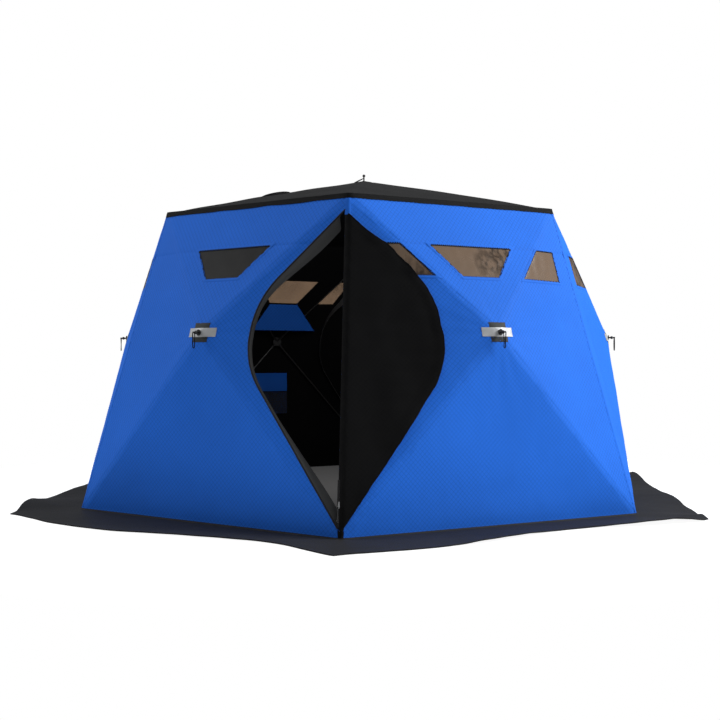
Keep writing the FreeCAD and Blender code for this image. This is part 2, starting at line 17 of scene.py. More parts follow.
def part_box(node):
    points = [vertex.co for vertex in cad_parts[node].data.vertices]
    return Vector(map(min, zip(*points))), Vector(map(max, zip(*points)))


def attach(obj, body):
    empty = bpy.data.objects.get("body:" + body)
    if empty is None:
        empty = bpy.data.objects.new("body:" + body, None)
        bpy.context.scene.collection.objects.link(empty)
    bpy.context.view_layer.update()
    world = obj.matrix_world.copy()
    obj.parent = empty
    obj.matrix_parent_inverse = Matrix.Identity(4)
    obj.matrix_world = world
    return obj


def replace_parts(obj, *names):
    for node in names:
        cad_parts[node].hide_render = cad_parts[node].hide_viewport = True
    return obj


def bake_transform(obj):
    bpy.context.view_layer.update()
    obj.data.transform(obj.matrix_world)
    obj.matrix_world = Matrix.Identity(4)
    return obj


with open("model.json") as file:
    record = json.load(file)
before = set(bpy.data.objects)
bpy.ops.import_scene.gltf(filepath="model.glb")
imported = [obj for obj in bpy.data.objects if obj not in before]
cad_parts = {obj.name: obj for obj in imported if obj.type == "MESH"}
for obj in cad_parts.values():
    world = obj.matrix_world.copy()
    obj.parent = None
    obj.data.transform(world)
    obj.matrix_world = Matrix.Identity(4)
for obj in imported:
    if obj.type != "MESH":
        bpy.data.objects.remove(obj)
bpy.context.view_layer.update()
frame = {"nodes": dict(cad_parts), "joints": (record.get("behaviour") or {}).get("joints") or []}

# ---- sizes, from the frame

JOINTS = {joint["name"]: joint for joint in frame["joints"]}
SIDES = 6
HALF_TURN = math.pi / SIDES
REACH = round(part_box("wall_right")[1].x, 3)
EAVE = round(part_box("wall_right")[1].z, 3)
HUB = JOINTS["pull_loop_right_swing"]["pos_m"][2]
PEAK = round(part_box("hub_posts")[1].z - 0.047, 3)
GROUND_RADIUS = REACH / math.cos(HALF_TURN)
EAVE_RADIUS = round(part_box("roof")[1].y, 3)
EAVE_REACH = EAVE_RADIUS * math.cos(HALF_TURN)
SKIRT_TIP = round(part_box("snow_skirt")[1].y, 3)
SKIRT_MIDDLE = 1.965

WALLS = {-3: "back_left", -2: "left", -1: "front_left", 0: "front_right", 1: "right", 2: "back_right"}
# Thicknesses and the quilting's pitch, puff and stitched-down seams.
FABRIC = 0.003
COVER_THICK = 0.0024
QUILT = 0.014
PUFF = 0.0024
SEAM_DIP = 0.0010
PANEL_SAG, ROOF_BOW = 0.008, 0.055
SEAM_HEIGHT = 1.56
SEAM_HALF = 0.004

# Windows, as (s, z) from the bottom left, anticlockwise.
SILL, HEAD = 1.383, SEAM_HEIGHT
TOP_WINDOW = [(-0.119, SILL), (0.119, SILL), (0.266, HEAD), (-0.266, HEAD)]
RIGHT_WINDOW = [(0.301, SILL), (0.628, SILL), (0.612, HEAD), (0.461, HEAD)]
NARROW_WINDOW = [(0.301, SILL), (0.424, SILL), (0.539, HEAD), (0.461, HEAD)]
BORDER, BORDER_STITCH = 0.019, 0.0045
CLOSED_WINDOW = (-1, "top")

# Doorways: each wall's door, how far its curved edge's nose stands from the wall's middle, and the side.
DOORWAYS = {-1: ("front", 0.289, 1), -3: ("rear", 0.354, -1)}
DOORS = {side: (wall, nose, sign) for wall, (side, nose, sign) in DOORWAYS.items()}
DOOR_TOP, DOOR_BOTTOM = 1.752, 0.056
# The strip of wall between a doorway and its corner, and how far a door's fabric stands off its wall.
CORNER_STRIP = 0.018
DOOR_LIFT = 0.010
DOOR_THICK = 0.004
DOOR_OVERLAP, DOOR_TUCK, ZIP_INSET = 0.008, 0.013, 0.034


def mirrored(points):
    return [(-s, z) for s, z in reversed(points)]


LEFT_WINDOW = mirrored(RIGHT_WINDOW)
ALL_WINDOWS = {"top": TOP_WINDOW, "right": RIGHT_WINDOW, "left": LEFT_WINDOW}
WINDOWS = {wall: ALL_WINDOWS for wall in WALLS}
WINDOWS[-1] = {"top": TOP_WINDOW}
WINDOWS[-3] = {"top": TOP_WINDOW, "left": mirrored(NARROW_WINDOW)}


# ---- the fabric's surface


def ripple(points, size, seed):
    """Smooth noise of about -1 to 1 at each point, with waves about size metres long, fixed by its seed."""
    chance = np.random.default_rng(seed)
    points = np.asarray(points, float)
    total = np.zeros(len(points))
    for _ in range(7):
        heading = chance.normal(size=points.shape[1])
        heading /= np.linalg.norm(heading)
        turns = 2 * math.pi / (size * chance.uniform(0.7, 1.7))
        total += np.sin(points @ heading * turns + chance.uniform(0, 2 * math.pi))
    return total / 4


def smooth(x, low, high):
    t = np.clip((np.asarray(x, float) - low) / (high - low), 0, 1)
    return t * t * (3 - 2 * t)


def unit(rows):
    """Vectors, one to a row, each made one long."""
    return rows / np.linalg.norm(rows, axis=1)[:, None]


def along_path(path):
    """How far along a path each of its points is."""
    return np.r_[0, np.cumsum(np.linalg.norm(np.diff(path, axis=0), axis=1))]


def headings(path, closed=False):
    """Which way a path runs at each of its points."""
    around = np.roll(path, -1, axis=0) - np.roll(path, 1, axis=0)
    return unit(around if closed else np.gradient(path, axis=0))


def beside(path, closed=False):
    """Which way is square to a flat path, on its right, at each of its points."""
    runs = headings(path, closed)
    return np.stack([runs[:, 1], -runs[:, 0]], axis=1)


def soft_min(a, b, width):
    gap = np.clip(width - np.abs(a - b), 0, None)
    return np.minimum(a, b) - gap * gap / (4 * width)


TOP_SLOPE = (REACH - EAVE_REACH) / (EAVE - HUB)
SIDE_SLOPE = (REACH - EAVE_REACH) / (HUB * EAVE_RADIUS / GROUND_RADIUS + EAVE - HUB)
SIDE_FALL = SIDE_SLOPE * HUB / (GROUND_RADIUS / 2)
RIDGE_WIDTH = 0.011


def half_width(z):
    """How far a wall's corner edges stand from its middle at height z."""
    return (GROUND_RADIUS + (EAVE_RADIUS - GROUND_RADIUS) * np.asarray(z, float) / EAVE) / 2


def wall_number(wall):
    """A wall's own number, when counting on round the shelter has passed the last one."""
    return (wall + 3) % SIDES - 3


def wall_axes(wall):
    turn = (2 * wall + 1) * HALF_TURN
    along = np.array([math.cos(turn), math.sin(turn), 0])
    outward = np.array([math.sin(turn), -math.cos(turn), 0])
    return along, outward


def wall_reach(wall, s, z):
    """How far out a wall's fabric stands: four panels pulled to the hub, with ridges, sag and creases."""
    base = np.full_like(s, REACH)
    top = REACH - TOP_SLOPE * (z - HUB)
    side = REACH - SIDE_FALL * np.abs(s) - SIDE_SLOPE * (z - HUB)
    reach = soft_min(soft_min(base, top, RIDGE_WIDTH), side, RIDGE_WIDTH)
    planes = np.sort(np.stack([base, top, side]), axis=0)
    spokes = np.arctan2(z - HUB, s)
    away = np.hypot(s, z - HUB)
    reach += (planes[0] - reach) * np.exp(-((away / 0.035) ** 2))
    edge = np.minimum(half_width(z) - np.abs(s), np.minimum(z, EAVE - z))
    calm = smooth(edge, 0, 0.22) * smooth(planes[1] - planes[0], 0, 0.16)
    level = 1 - smooth(np.abs(z - (SILL + HEAD) / 2), 0.16, 0.34)
    sag = PANEL_SAG * (1 - level) * calm
    place = np.stack([s, z], axis=1)
    creases = 0.0012 * ripple(place, 0.42, 40 + wall) + 0.0005 * ripple(place, 0.15, 60 + wall)
    pull = 0.0005 * np.sin(spokes * 17 + wall) * smooth(away, 0.05, 0.15) * (1 - smooth(away, 0.2, 0.6))
    return reach - sag + (creases + pull) * smooth(edge, 0, 0.12) * (1 - 0.75 * level)


def wall_face(wall, s, z):
    """Points on a wall's outer face, and the normals there."""
    s, z = np.asarray(s, float), np.asarray(z, float)
    step = 0.004
    reach = wall_reach(wall, s, z)
    run = (wall_reach(wall, s + step, z) - wall_reach(wall, s - step, z)) / (2 * step)
    rise = (wall_reach(wall, s, z + step) - wall_reach(wall, s, z - step)) / (2 * step)
    along, outward = wall_axes(wall)
    normal = outward - run[:, None] * along
    normal[:, 2] -= rise
    point = s[:, None] * along + reach[:, None] * outward
    point[:, 2] += z
    return point, unit(normal)


def on_wall(wall, s, z, lift=0.0):
    """Points on a wall's outer face, moved off it by lift along its normal."""
    point, normal = wall_face(wall, s, z)
    return point + normal * np.broadcast_to(lift, len(point))[:, None]


def side_normal(wall, sign):
    """The normal of a wall's flat side panel, on the side of s that sign gives."""
    along, outward = wall_axes(wall)
    normal = outward + sign * SIDE_FALL * along + [0, 0, SIDE_SLOPE]
    return normal / np.linalg.norm(normal)


def round_corner(wall, s, z, lift):
    """Points beside the corner edge at a wall's left, which may run on round it onto the wall before."""
    q = s + half_width(z)
    before = wall_number(wall - 1)
    after_point, after_normal = wall_face(wall, np.maximum(s, -half_width(z)), z)
    before_point, before_normal = wall_face(before, half_width(z) + np.minimum(q, 0), z)
    share = smooth(q, -0.012, 0.012)[:, None]
    normal = unit(after_normal * share + before_normal * (1 - share))
    point = np.where((q >= 0)[:, None], after_point, before_point)
    return point + normal * np.broadcast_to(lift, len(point))[:, None]


def quilt_relief(s, z):
    """0 along the quilting's stitches and 1 in the middle of each diamond."""
    first = np.abs(np.sin(math.pi * (s + z) / (2 * QUILT)))
    second = np.abs(np.sin(math.pi * (s - z) / (2 * QUILT)))
    return np.sqrt(first * second)


def roof_height(x, y):
    """The roof's outer face: six panels with soft ridges, bowed up a little by the rods under them."""
    outward = np.array([wall_axes(k)[1][:2] for k in range(SIDES)])
    spans = np.sort(np.stack([x, y], axis=1) @ outward.T, axis=1)
    first, second = spans[:, -1], spans[:, -2]
    soft = np.clip(0.03 - (first - second), 0, None)
    span = first + soft * soft / 0.12
    middle = smooth(first - second, 0, 0.5) * smooth(EAVE_REACH - first, 0, 0.4) * smooth(first, 0, 0.4)
    creases = 0.0022 * ripple(np.stack([x, y], axis=1), 0.35, 8) * smooth(EAVE_REACH - first, 0, 0.15)
    share = first / EAVE_REACH
    bow = ROOF_BOW * share**1.5 * np.clip(1 - share, 0, 1)
    return PEAK - (PEAK - EAVE) / EAVE_REACH * span + bow + 0.004 * middle + creases


# ---- flat outlines and layouts


def stepped(points, step, closed=True):
    """The points of an outline with more points put in along each run."""
    points = [np.array(p, float) for p in points]
    ends = points[1:] + points[:1] if closed else points[1:]
    result = []
    for start, end in zip(points, ends):
        count = max(1, round(np.linalg.norm(end - start) / step))
        result += [start + (end - start) * i / count for i in range(count)]
    return np.array(result if closed else result + [points[-1]])


def grown(points, margin):
    """A convex outline, anticlockwise, with each side moved outwards by margin."""
    points = [np.array(p, float) for p in points]
    sides = []
    for start, end in zip(points, points[1:] + points[:1]):
        heading = (end - start) / np.linalg.norm(end - start)
        sides.append((start + margin * np.array([heading[1], -heading[0]]), heading))
    result = []
    for i, (start, heading) in enumerate(sides):
        other, across = sides[i - 1]
        share = np.linalg.solve(np.stack([across, -heading], axis=1), start - other)[0]
        result.append(other + across * share)
    return result


def inside(points, outline):
    x, y = points[:, 0], points[:, 1]
    hit = np.zeros(len(points), bool)
    for (ax, ay), (bx, by) in zip(outline, np.roll(outline, -1, axis=0)):
        crosses = (ay > y) != (by > y)
        hit ^= crosses & (x < (bx - ax) * (y - ay) / (by - ay + 1e-12) + ax)
    return hit


def run_distance(points, line, closed=True):
    """Each point's distance to a line of points."""
    ends = np.roll(line, -1, axis=0) if closed else line[1:]
    best = np.full(len(points), 1e9)
    for start, end in zip(line, ends):
        run = end - start
        share = np.clip((points - start) @ run / (run @ run), 0, 1)
        best = np.minimum(best, np.linalg.norm(points - start - share[:, None] * run, axis=1))
    return best


def layout(outline, holes=(), seams=(), pitch=QUILT):
    """Flat points and triangles over an outline, less its holes: a quilting lattice, with seams kept as
    edges. Gives the points, the triangles and each point's distance to the nearest seam."""
    outline = np.asarray(outline, float)
    holes = [np.asarray(hole, float) for hole in holes]
    seams = [np.asarray(seam, float) for seam in seams]
    low, high = outline.min(0), outline.max(0)
    rows = np.arange(math.floor(low[1] / pitch), math.ceil(high[1] / pitch) + 1)
    columns = np.arange(math.floor(low[0] / pitch), math.ceil(high[0] / pitch) + 1)
    lattice = np.array([(c * pitch, r * pitch) for r in rows for c in columns])
    corner = np.array([(c + r) % 2 == 0 for r in rows for c in columns])
    keep = inside(lattice, outline) & (run_distance(lattice, outline) > pitch * 0.35)
    for hole in holes:
        keep &= ~inside(lattice, hole) & (run_distance(lattice, hole) > pitch * 0.35)
    for seam in seams:
        keep &= run_distance(lattice, seam, closed=False) > pitch * 0.25
    number = np.full(len(lattice), -1)
    number[keep] = np.arange(keep.sum())
    points, edges = [Vector(p) for p in lattice[keep]], []
    wide = len(columns)
    for i in np.flatnonzero(keep & corner):
        for j in (i + wide + 1, i + wide - 1):
            if j < len(lattice) and abs(j % wide - i % wide) == 1 and keep[j]:
                edges.append((int(number[i]), int(number[j])))
    for line in [outline] + holes + seams:
        first, count = len(points), len(line)
        points += [Vector(p) for p in line]
        open_end = any(line is seam for seam in seams)
        edges += [(first + i, first + (i + 1) % count) for i in range(count - open_end)]
    flat, _, faces, *_ = delaunay_2d_cdt(points, edges, [], 2, 1e-5)
    flat = np.array([tuple(p) for p in flat])
    centres = np.array([flat[list(face)].mean(0) for face in faces])
    wanted = inside(centres, outline)
    for hole in holes:
        wanted &= ~inside(centres, hole)
    faces = [face for face, good in zip(faces, wanted) if good]
    near = np.full(len(flat), 1e9)
    for seam in seams:
        near = np.minimum(near, run_distance(flat, seam, closed=False))
    return flat, faces, near


def door_curve(nose, grow=0.0, strip=CORNER_STRIP, step=0.012):
    """The zipped edge of a D-shaped doorway on the side of positive s, from its tip down to its toe."""
    tip = (float(half_width(DOOR_TOP + grow)) - strip, DOOR_TOP + grow)
    toe = (float(half_width(DOOR_BOTTOM - grow)) - strip, DOOR_BOTTOM - grow)
    upper, middle, lower = (nose + 0.122, 1.4), (nose, 1.12), (nose + 0.098, 0.772)
    centre, radius = circle_through(upper, middle, lower)
    angles = [math.atan2(z - centre[1], s - centre[0]) % (2 * math.pi) for s, z in (upper, middle, lower)]
    count = max(4, round(radius * (angles[2] - angles[0]) / step))
    turns = np.linspace(angles[0], angles[2], count)
    radius += grow
    arc = [(centre[0] + radius * math.cos(a), centre[1] + radius * math.sin(a)) for a in turns]
    return stepped([tip] + arc + [toe], step, closed=False)


def circle_through(a, b, c):
    a, b, c = (np.array(p, float) for p in (a, b, c))
    sides = np.stack([b - a, c - a])
    centre = np.linalg.solve(2 * sides, [b @ b - a @ a, c @ c - a @ a])
    return centre, float(np.linalg.norm(centre - a))


def doorway(nose, sign):
    """The whole outline of a doorway, anticlockwise, on the side that sign gives."""
    curve = door_curve(nose)
    straight = stepped([curve[-1], curve[0]], 0.012, closed=False)[1:-1]
    outline = np.concatenate([curve, straight])
    return outline if sign > 0 else outline[::-1] * [-1, 1]


# ---- meshes


SHARP_ANGLE = 50
CORD_SIDES = 10


class Shape:
    """A mesh in the making: points, faces, each face's material number, and each point's flat (u, v)."""

    def __init__(self):
        self.points, self.faces, self.numbers, self.flat = [], [], [], []

    def add(self, points, faces, flat=None, number=0):
        start = len(self.points)
        points = np.asarray(points, float)
        self.points += points.tolist()
        self.faces += [[start + i for i in face] for face in faces]
        self.numbers += [number] * len(faces)
        self.flat += (points[:, :2] if flat is None else np.asarray(flat, float)).tolist()
        return self

    def grid(self, points, number=0, flat=None, closed=False):
        """A grid of points, rows by columns, whose columns may close up into a ring."""
        rows, columns = points.shape[:2]
        if flat is None:
            flat = np.stack(np.meshgrid(along_path(points[0]), along_path(points[:, 0])), axis=2)
        faces = []
        for start in range(0, (rows - 1) * columns, columns):
            for c in range(columns if closed else columns - 1):
                a, b = start + c, start + (c + 1) % columns
                faces.append((a, b, b + columns, a + columns))
        return self.add(points.reshape(-1, 3), faces, np.asarray(flat).reshape(-1, 2), number)

    def area(self):
        points = np.asarray(self.points, float)
        total = 0.0
        for first, *rest in self.faces:
            for b, c in zip(rest, rest[1:]):
                total += np.linalg.norm(np.cross(points[b] - points[first], points[c] - points[first])) / 2
        return float(total)

    def build(self, name, looks, slot, thick=0.0, back=0, rim=None, body="shelter"):
        """The finished object, riding on its body. thick is the cloth's thickness, inwards from the points;
        back and rim are how many materials further on those faces take theirs."""
        mesh = bpy.data.meshes.new(name)
        mesh.from_pydata(self.points, [], self.faces)
        mesh.polygons.foreach_set("material_index", self.numbers)
        layer = mesh.uv_layers.new(name="flat")
        corners = np.zeros(len(mesh.loops), np.int32)
        mesh.loops.foreach_get("vertex_index", corners)
        layer.data.foreach_set("uv", np.array(self.flat)[corners].astype(np.float32).ravel())
        for look in looks:
            mesh.materials.append(look)
        thing = bpy.data.objects.new(name, mesh)
        bpy.context.scene.collection.objects.link(thing)
        if thick:
            thicken(thing, thick, back, back if rim is None else rim)
        thing.data.shade_smooth()
        thing.data.set_sharp_from_angle(angle=math.radians(SHARP_ANGLE))
        if body:
            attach(thing, body)
        return thing


def thicken(thing, thick, back, rim):
    """Gives the cloth its thickness for good, so that the mesh is final."""
    solid = thing.modifiers.new("thickness", "SOLIDIFY")
    solid.thickness = thick
    solid.offset = -1
    solid.use_quality_normals = True
    solid.material_offset = back
    solid.material_offset_rim = rim
    settled = bpy.data.meshes.new_from_object(thing.evaluated_get(bpy.context.evaluated_depsgraph_get()))
    thing.modifiers.clear()
    thing.data = settled


def tube(path, radius, closed=False, squash=1.0):
    """A round cord along a path: its points, faces and flat places. squash flattens it."""
    path = np.asarray(path, float)
    count = len(path)
    travelled = along_path(path)
    runs = headings(path, closed)
    side = np.cross(runs[0], [0.31, 0.17, 0.94])
    rings, flat, faces = [], [], []
    for i, run in enumerate(runs):
        side = side - run * (side @ run)
        side /= np.linalg.norm(side)
        up = np.cross(run, side)
        for j in range(CORD_SIDES):
            a = 2 * math.pi * j / CORD_SIDES
            rings.append(path[i] + radius * (side * math.cos(a) + up * math.sin(a) * squash))
            flat.append((travelled[i], radius * a))
    for i in range(count if closed else count - 1):
        k = (i + 1) % count
        for j in range(CORD_SIDES):
            m = (j + 1) % CORD_SIDES
            faces.append([row * CORD_SIDES + place for row, place in ((k, j), (k, m), (i, m), (i, j))])
    if not closed:
        faces += [list(range(CORD_SIDES)), [count * CORD_SIDES - 1 - j for j in range(CORD_SIDES)]]
    return np.array(rings), faces, np.array(flat)


def cord(name, path, radius, slot, look=None, body="shelter", closed=False, squash=1.0):
    """A round cord or bound edge along a path, black if nothing else is said."""
    shape = Shape().add(*tube(path, radius, closed, squash))
    return shape.build(name, [look or HEM_BLACK], slot, body=body)


def cloth(thing, size, rests_on, area=None):
    """Takes the rectangle that a sheet is cut from and the cut's own area, caps the area at the rectangle,
    and keeps nothing.
    """
    if area is not None:
        area = min(area, float(size[0] * size[1]))
    tuple(size)


def sheet_of(wall):
    return f"wall_sheet_{WALLS[wall]}"


# ---- materials


class Nodes:
    """Short ways to put a material's nodes together."""

    def __init__(self, name):
        self.material = bpy.data.materials.new(name)
        self.material.use_nodes = True
        self.tree = self.material.node_tree
        self.shader = self.tree.nodes["Principled BSDF"]
        self.output = self.tree.nodes["Material Output"]

    def node(self, kind, **settings):
        made = self.tree.nodes.new("ShaderNode" + kind)
        for key, value in settings.items():
            setattr(made, key, value)
        return made

    def join(self, source, target):
        self.tree.links.new(source, target)

    def put(self, socket, value):
        if isinstance(value, bpy.types.NodeSocket):
            self.join(value, socket)
        else:
            socket.default_value = value

    def calc(self, operation, *values):
        made = self.node("Math", operation=operation)
        for socket, value in zip(made.inputs, values):
            self.put(socket, value)
        return made.outputs[0]

    def noise(self, scale, detail=3.0, rough=0.55, stretch=None):
        place = self.node("TexCoord").outputs["Object"]
        if stretch:
            mapping = self.node("Mapping")
            mapping.inputs["Scale"].default_value = stretch
            self.join(place, mapping.inputs["Vector"])
            place = mapping.outputs[0]
        made = self.node("TexNoise")
        for key, value in (("Scale", scale), ("Detail", detail), ("Roughness", rough), ("Vector", place)):
            self.put(made.inputs[key], value)
        return made.outputs["Fac"]

    def range(self, value, low, high, to_low=0.0, to_high=1.0):
        made = self.node("MapRange")
        for socket, entry in zip(made.inputs, (value, low, high, to_low, to_high)):
            self.put(socket, entry)
        return made.outputs[0]

    def blend(self, share, first, second):
        made = self.node("Mix", data_type="RGBA")
        self.put(made.inputs["Factor"], share)
        for key, value in (("A", first), ("B", second)):
            socket = next(s for s in made.inputs if s.name == key and s.type == "RGBA")
            self.put(socket, value if isinstance(value, bpy.types.NodeSocket) else (*value, 1.0))
        return next(s for s in made.outputs if s.type == "RGBA")

    def bump(self, height, distance, strength=1.0, below=None):
        made = self.node("Bump")
        settings = {"Strength": strength, "Distance": distance, "Height": height, "Normal": below}
        for key, value in settings.items():
            if value is not None:
                self.put(made.inputs[key], value)
        return made.outputs[0]

    def flat(self):
        """The cloth's flat (u, v) in metres."""
        split = self.node("SeparateXYZ")
        self.join(self.node("UVMap", uv_map="flat").outputs[0], split.inputs[0])
        return split.outputs[0], split.outputs[1]

    def waves(self, value, period):
        """A sine from -1 to 1 that repeats every period metres."""
        return self.calc("SINE", self.calc("MULTIPLY", value, 2 * math.pi / period))

    def crossed(self, period):
        """Two sets of waves that cross slantwise."""
        u, v = self.flat()
        return self.waves(self.calc("ADD", u, v), period), self.waves(self.calc("SUBTRACT", u, v), period)

    def done(self, **values):
        for key, value in values.items():
            self.put(self.shader.inputs[key.replace("_", " ")], value)
        return self.material

    def see_through(self, share, tint=(1, 1, 1)):
        """Lets this share of the light past the shader, tinted."""
        clear, mix = self.node("BsdfTransparent"), self.node("MixShader")
        clear.inputs[0].default_value = (*tint, 1)
        self.put(mix.inputs[0], share)
        self.join(self.shader.outputs[0], mix.inputs[1])
        self.join(clear.outputs[0], mix.inputs[2])
        self.join(mix.outputs[0], self.output.inputs["Surface"])
        return self.material


def shade(colour, factor):
    return tuple(min(1.0, c * factor) for c in colour)


def fabric(name, colour, thread=0.0022, quilted=False, rough=0.62, mottle=0.12, gloss=0.2, rib=0.0):
    """Woven cloth: threads, uneven dye, and the stitches of its quilting if it has any."""
    n = Nodes(name)
    u, v = n.flat()
    across, down = n.waves(u, thread), n.waves(v, thread)
    threads = n.calc("MULTIPLY", across, down)
    dye = n.noise(2.6, 4.0)
    fine = n.noise(140.0, 2.0)
    tone = n.calc("ADD", n.range(dye, 0.3, 0.7, 0, 0.75), n.range(fine, 0.3, 0.7, 0, 0.25))
    tinted = n.blend(tone, shade(colour, 1 - mottle), shade(colour, 1 + mottle))
    height = n.calc("MULTIPLY", threads, 0.5)
    if quilted:
        stitch = None
        for first, second in (("ADD", "SUBTRACT"), ("SUBTRACT", "ADD")):
            run = n.calc("MULTIPLY", n.calc(first, u, v), 1 / (2 * QUILT))
            gap = n.calc("ABSOLUTE", n.calc("SUBTRACT", n.calc("FRACT", n.calc("ADD", run, 0.5)), 0.5))
            line = n.range(gap, 0.03, 0.075, 1, 0)
            dash = n.range(n.waves(n.calc(second, u, v), 0.0046), -0.75, -0.35)
            part = n.calc("MULTIPLY", line, dash)
            stitch = part if stitch is None else n.calc("MAXIMUM", stitch, part)
        tinted = n.blend(n.calc("MULTIPLY", stitch, 0.7), tinted, shade(colour, 0.4))
        height = n.calc("SUBTRACT", height, n.calc("MULTIPLY", stitch, 1.6))
    if rib:
        ribs = n.waves(v, rib)
        height = n.calc("ADD", height, n.calc("MULTIPLY", ribs, 2.5))
        # Painted shade: the troughs between the ribs are painted darker.
        tinted = n.blend(n.range(ribs, -1, 1, 0.5, 0), tinted, shade(colour, 0.5))
    normal = n.bump(height, 0.00012, 0.7, n.bump(n.noise(7.0, 3.0), 0.0025, 0.25))
    roughness = n.range(fine, 0.3, 0.7, rough - 0.06, rough + 0.06)
    return n.done(Base_Color=tinted, Roughness=roughness, Normal=normal, Specular_IOR_Level=gloss)


def film(name, tint, haze, share, rough=0.2, worn=1.0):
    """Window vinyl: a tinted clear film, hazy all over and crinkled in places from folding, with painted
    shade darkening the creases.
    """
    n = Nodes(name)
    haze_cloud = n.noise(3.2, 2.0)
    # worn sets how creased the film is, and so how much painted shade lies along the creases.
    creased = n.range(n.noise(2.6, 1.0), 0.44, 0.53, 0, worn)
    ridges = n.calc("ABSOLUTE", n.calc("SUBTRACT", n.noise(10.0, 2.0, 0.5, stretch=(1.5, 1.5, 0.8)), 0.5))
    crease_and_shade = n.calc("MULTIPLY", n.range(ridges, 0.0, 0.13, 1, 0), creased)
    body = n.blend(n.range(haze_cloud, 0.3, 0.7), shade(haze, 0.86), shade(haze, 1.12))
    # Painted shade: the film's colour is darkened along its creases.
    body = n.blend(n.calc("MULTIPLY", crease_and_shade, 0.85), body, shade(haze, 0.12))
    normal = n.bump(crease_and_shade, 0.0006, 0.5, n.bump(n.noise(11.0, 2.0), 0.004, 0.3 * worn))
    n.done(Base_Color=body, Roughness=rough, Normal=normal, Specular_IOR_Level=0.12 + 0.38 * worn)
    return n.see_through(n.range(haze_cloud, 0.3, 0.7, share - 0.08, share + 0.08), tint)


def reflective(name):
    """Silver tape: a fine lattice of beads under a clear face, scuffed and slightly dull at places."""
    n = Nodes(name)
    cells = n.calc("MULTIPLY", *n.crossed(0.006))
    worn = n.noise(16.0, 5.0, 0.6)
    tone = n.blend(n.range(cells, -1, 1, 0, 0.55), (0.44, 0.45, 0.46), (0.33, 0.335, 0.345))
    tone = n.blend(n.range(worn, 0.55, 0.75, 0, 0.35), tone, (0.24, 0.245, 0.255))
    return n.done(Base_Color=tone, Roughness=n.range(worn, 0.3, 0.7, 0.34, 0.5), Metallic=0.2,
                  Normal=n.bump(cells, 0.0002, 0.5))


def plastic(name, colour, rough=0.42):
    """Moulded nylon with a fine grain, paler where it has rubbed."""
    n = Nodes(name)
    grain = n.noise(260.0, 3.0)
    rubbed = n.range(n.noise(38.0, 5.0, 0.65), 0.56, 0.74)
    tone = n.blend(n.calc("MULTIPLY", rubbed, 0.5), colour, shade(colour, 2.4))
    return n.done(Base_Color=tone, Roughness=n.range(grain, 0.3, 0.7, rough - 0.08, rough + 0.1),
                  Normal=n.bump(grain, 0.0002, 0.5))


def glass_fibre(name):
    """Dark pultruded rod: lengthwise fibres under a clear resin face."""
    n = Nodes(name)
    fibres = n.noise(90.0, 5.0, 0.7, stretch=(4, 4, 0.25))
    tone = n.blend(n.range(fibres, 0.3, 0.7), (0.006, 0.006, 0.007), (0.035, 0.034, 0.032))
    return n.done(Base_Color=tone, Roughness=0.3, Coat_Weight=0.4, Normal=n.bump(fibres, 0.0003, 0.5))


def metal(name, colour):
    """Die-cast zip metal, brushed and worn bright in places."""
    n = Nodes(name)
    brush = n.noise(300.0, 3.0, 0.6, stretch=(1, 1, 0.2))
    worn = n.range(n.noise(60.0, 4.0), 0.5, 0.7)
    tone = n.blend(worn, colour, shade(colour, 1.5))
    return n.done(Base_Color=tone, Metallic=0.8, Roughness=n.range(brush, 0.3, 0.7, 0.25, 0.48),
                  Normal=n.bump(brush, 0.0001, 0.4))


def braid(name, colour):
    """Braided cord: two sets of strands that wind round it and cross, with painted light on their crests
    and painted shade between them.
    """
    n = Nodes(name)
    weave = n.calc("MULTIPLY", *n.crossed(0.0042))
    # Painted light and shade: the strands are painted lighter where they stand high and darker in the
    # hollows between them.
    tone = n.blend(n.range(weave, -1, 1), shade(colour, 0.55), shade(colour, 1.4))
    return n.done(Base_Color=tone, Roughness=0.75, Specular_IOR_Level=0.15,
                  Normal=n.bump(weave, 0.0006, 0.8))


def netting(name, colour):
    """Knitted pocket mesh: open cells between threads."""
    n = Nodes(name)
    one, two = (n.calc("ABSOLUTE", strands) for strands in n.crossed(0.011))
    hole = n.range(n.calc("MINIMUM", one, two), 0.42, 0.6)
    tone = n.blend(n.noise(60.0), shade(colour, 0.7), shade(colour, 1.5))
    n.done(Base_Color=tone, Roughness=0.7, Normal=n.bump(hole, 0.0006, 0.6))
    return n.see_through(n.calc("MULTIPLY", hole, 0.85))


BLUE = (0.014, 0.138, 0.660)
BLACK = (0.0056, 0.0056, 0.0060)
BLUE_QUILT = fabric("blue_quilted_oxford", BLUE, quilted=True, rough=0.7, mottle=0.06, gloss=0.12)
BLUE_PLAIN = fabric("blue_oxford", shade(BLUE, 0.93), rough=0.7, mottle=0.07, gloss=0.12)
BLACK_QUILT = fabric("black_quilted_lining", BLACK, quilted=True, rough=0.7, mottle=0.15, gloss=0.045)
ROOF_BLACK = fabric("roof_oxford", (0.0095, 0.0095, 0.010), mottle=0.15, gloss=0.06)
HEM_BLACK = fabric("hem_tape", (0.0045, 0.0045, 0.005), thread=0.0016, mottle=0.2, gloss=0.07, rib=0.004)
SKIRT = fabric("skirt_oxford", (0.020, 0.020, 0.021), mottle=0.15, gloss=0.12)
FACING = fabric("grey_facing", (0.062, 0.063, 0.065), gloss=0.15)
PATCH = fabric("hub_patch_fabric", (0.030, 0.034, 0.036), rib=0.009, mottle=0.2)
COVER_GREY = fabric("cover_grey", (0.040, 0.040, 0.041), mottle=0.1)
SILVER = reflective("silver_tape")
TAN_VINYL = film("tan_vinyl", (0.74, 0.60, 0.48), (0.225, 0.160, 0.112), 0.42)
SMOKE_VINYL = film("smoke_vinyl", (0.85, 0.85, 0.86), (0.016, 0.016, 0.016), 0.2, rough=0.5, worn=0.0)
CORD = braid("black_cord", (0.004, 0.004, 0.004))
PULL_CORD = braid("grey_cord", (0.16, 0.16, 0.17))
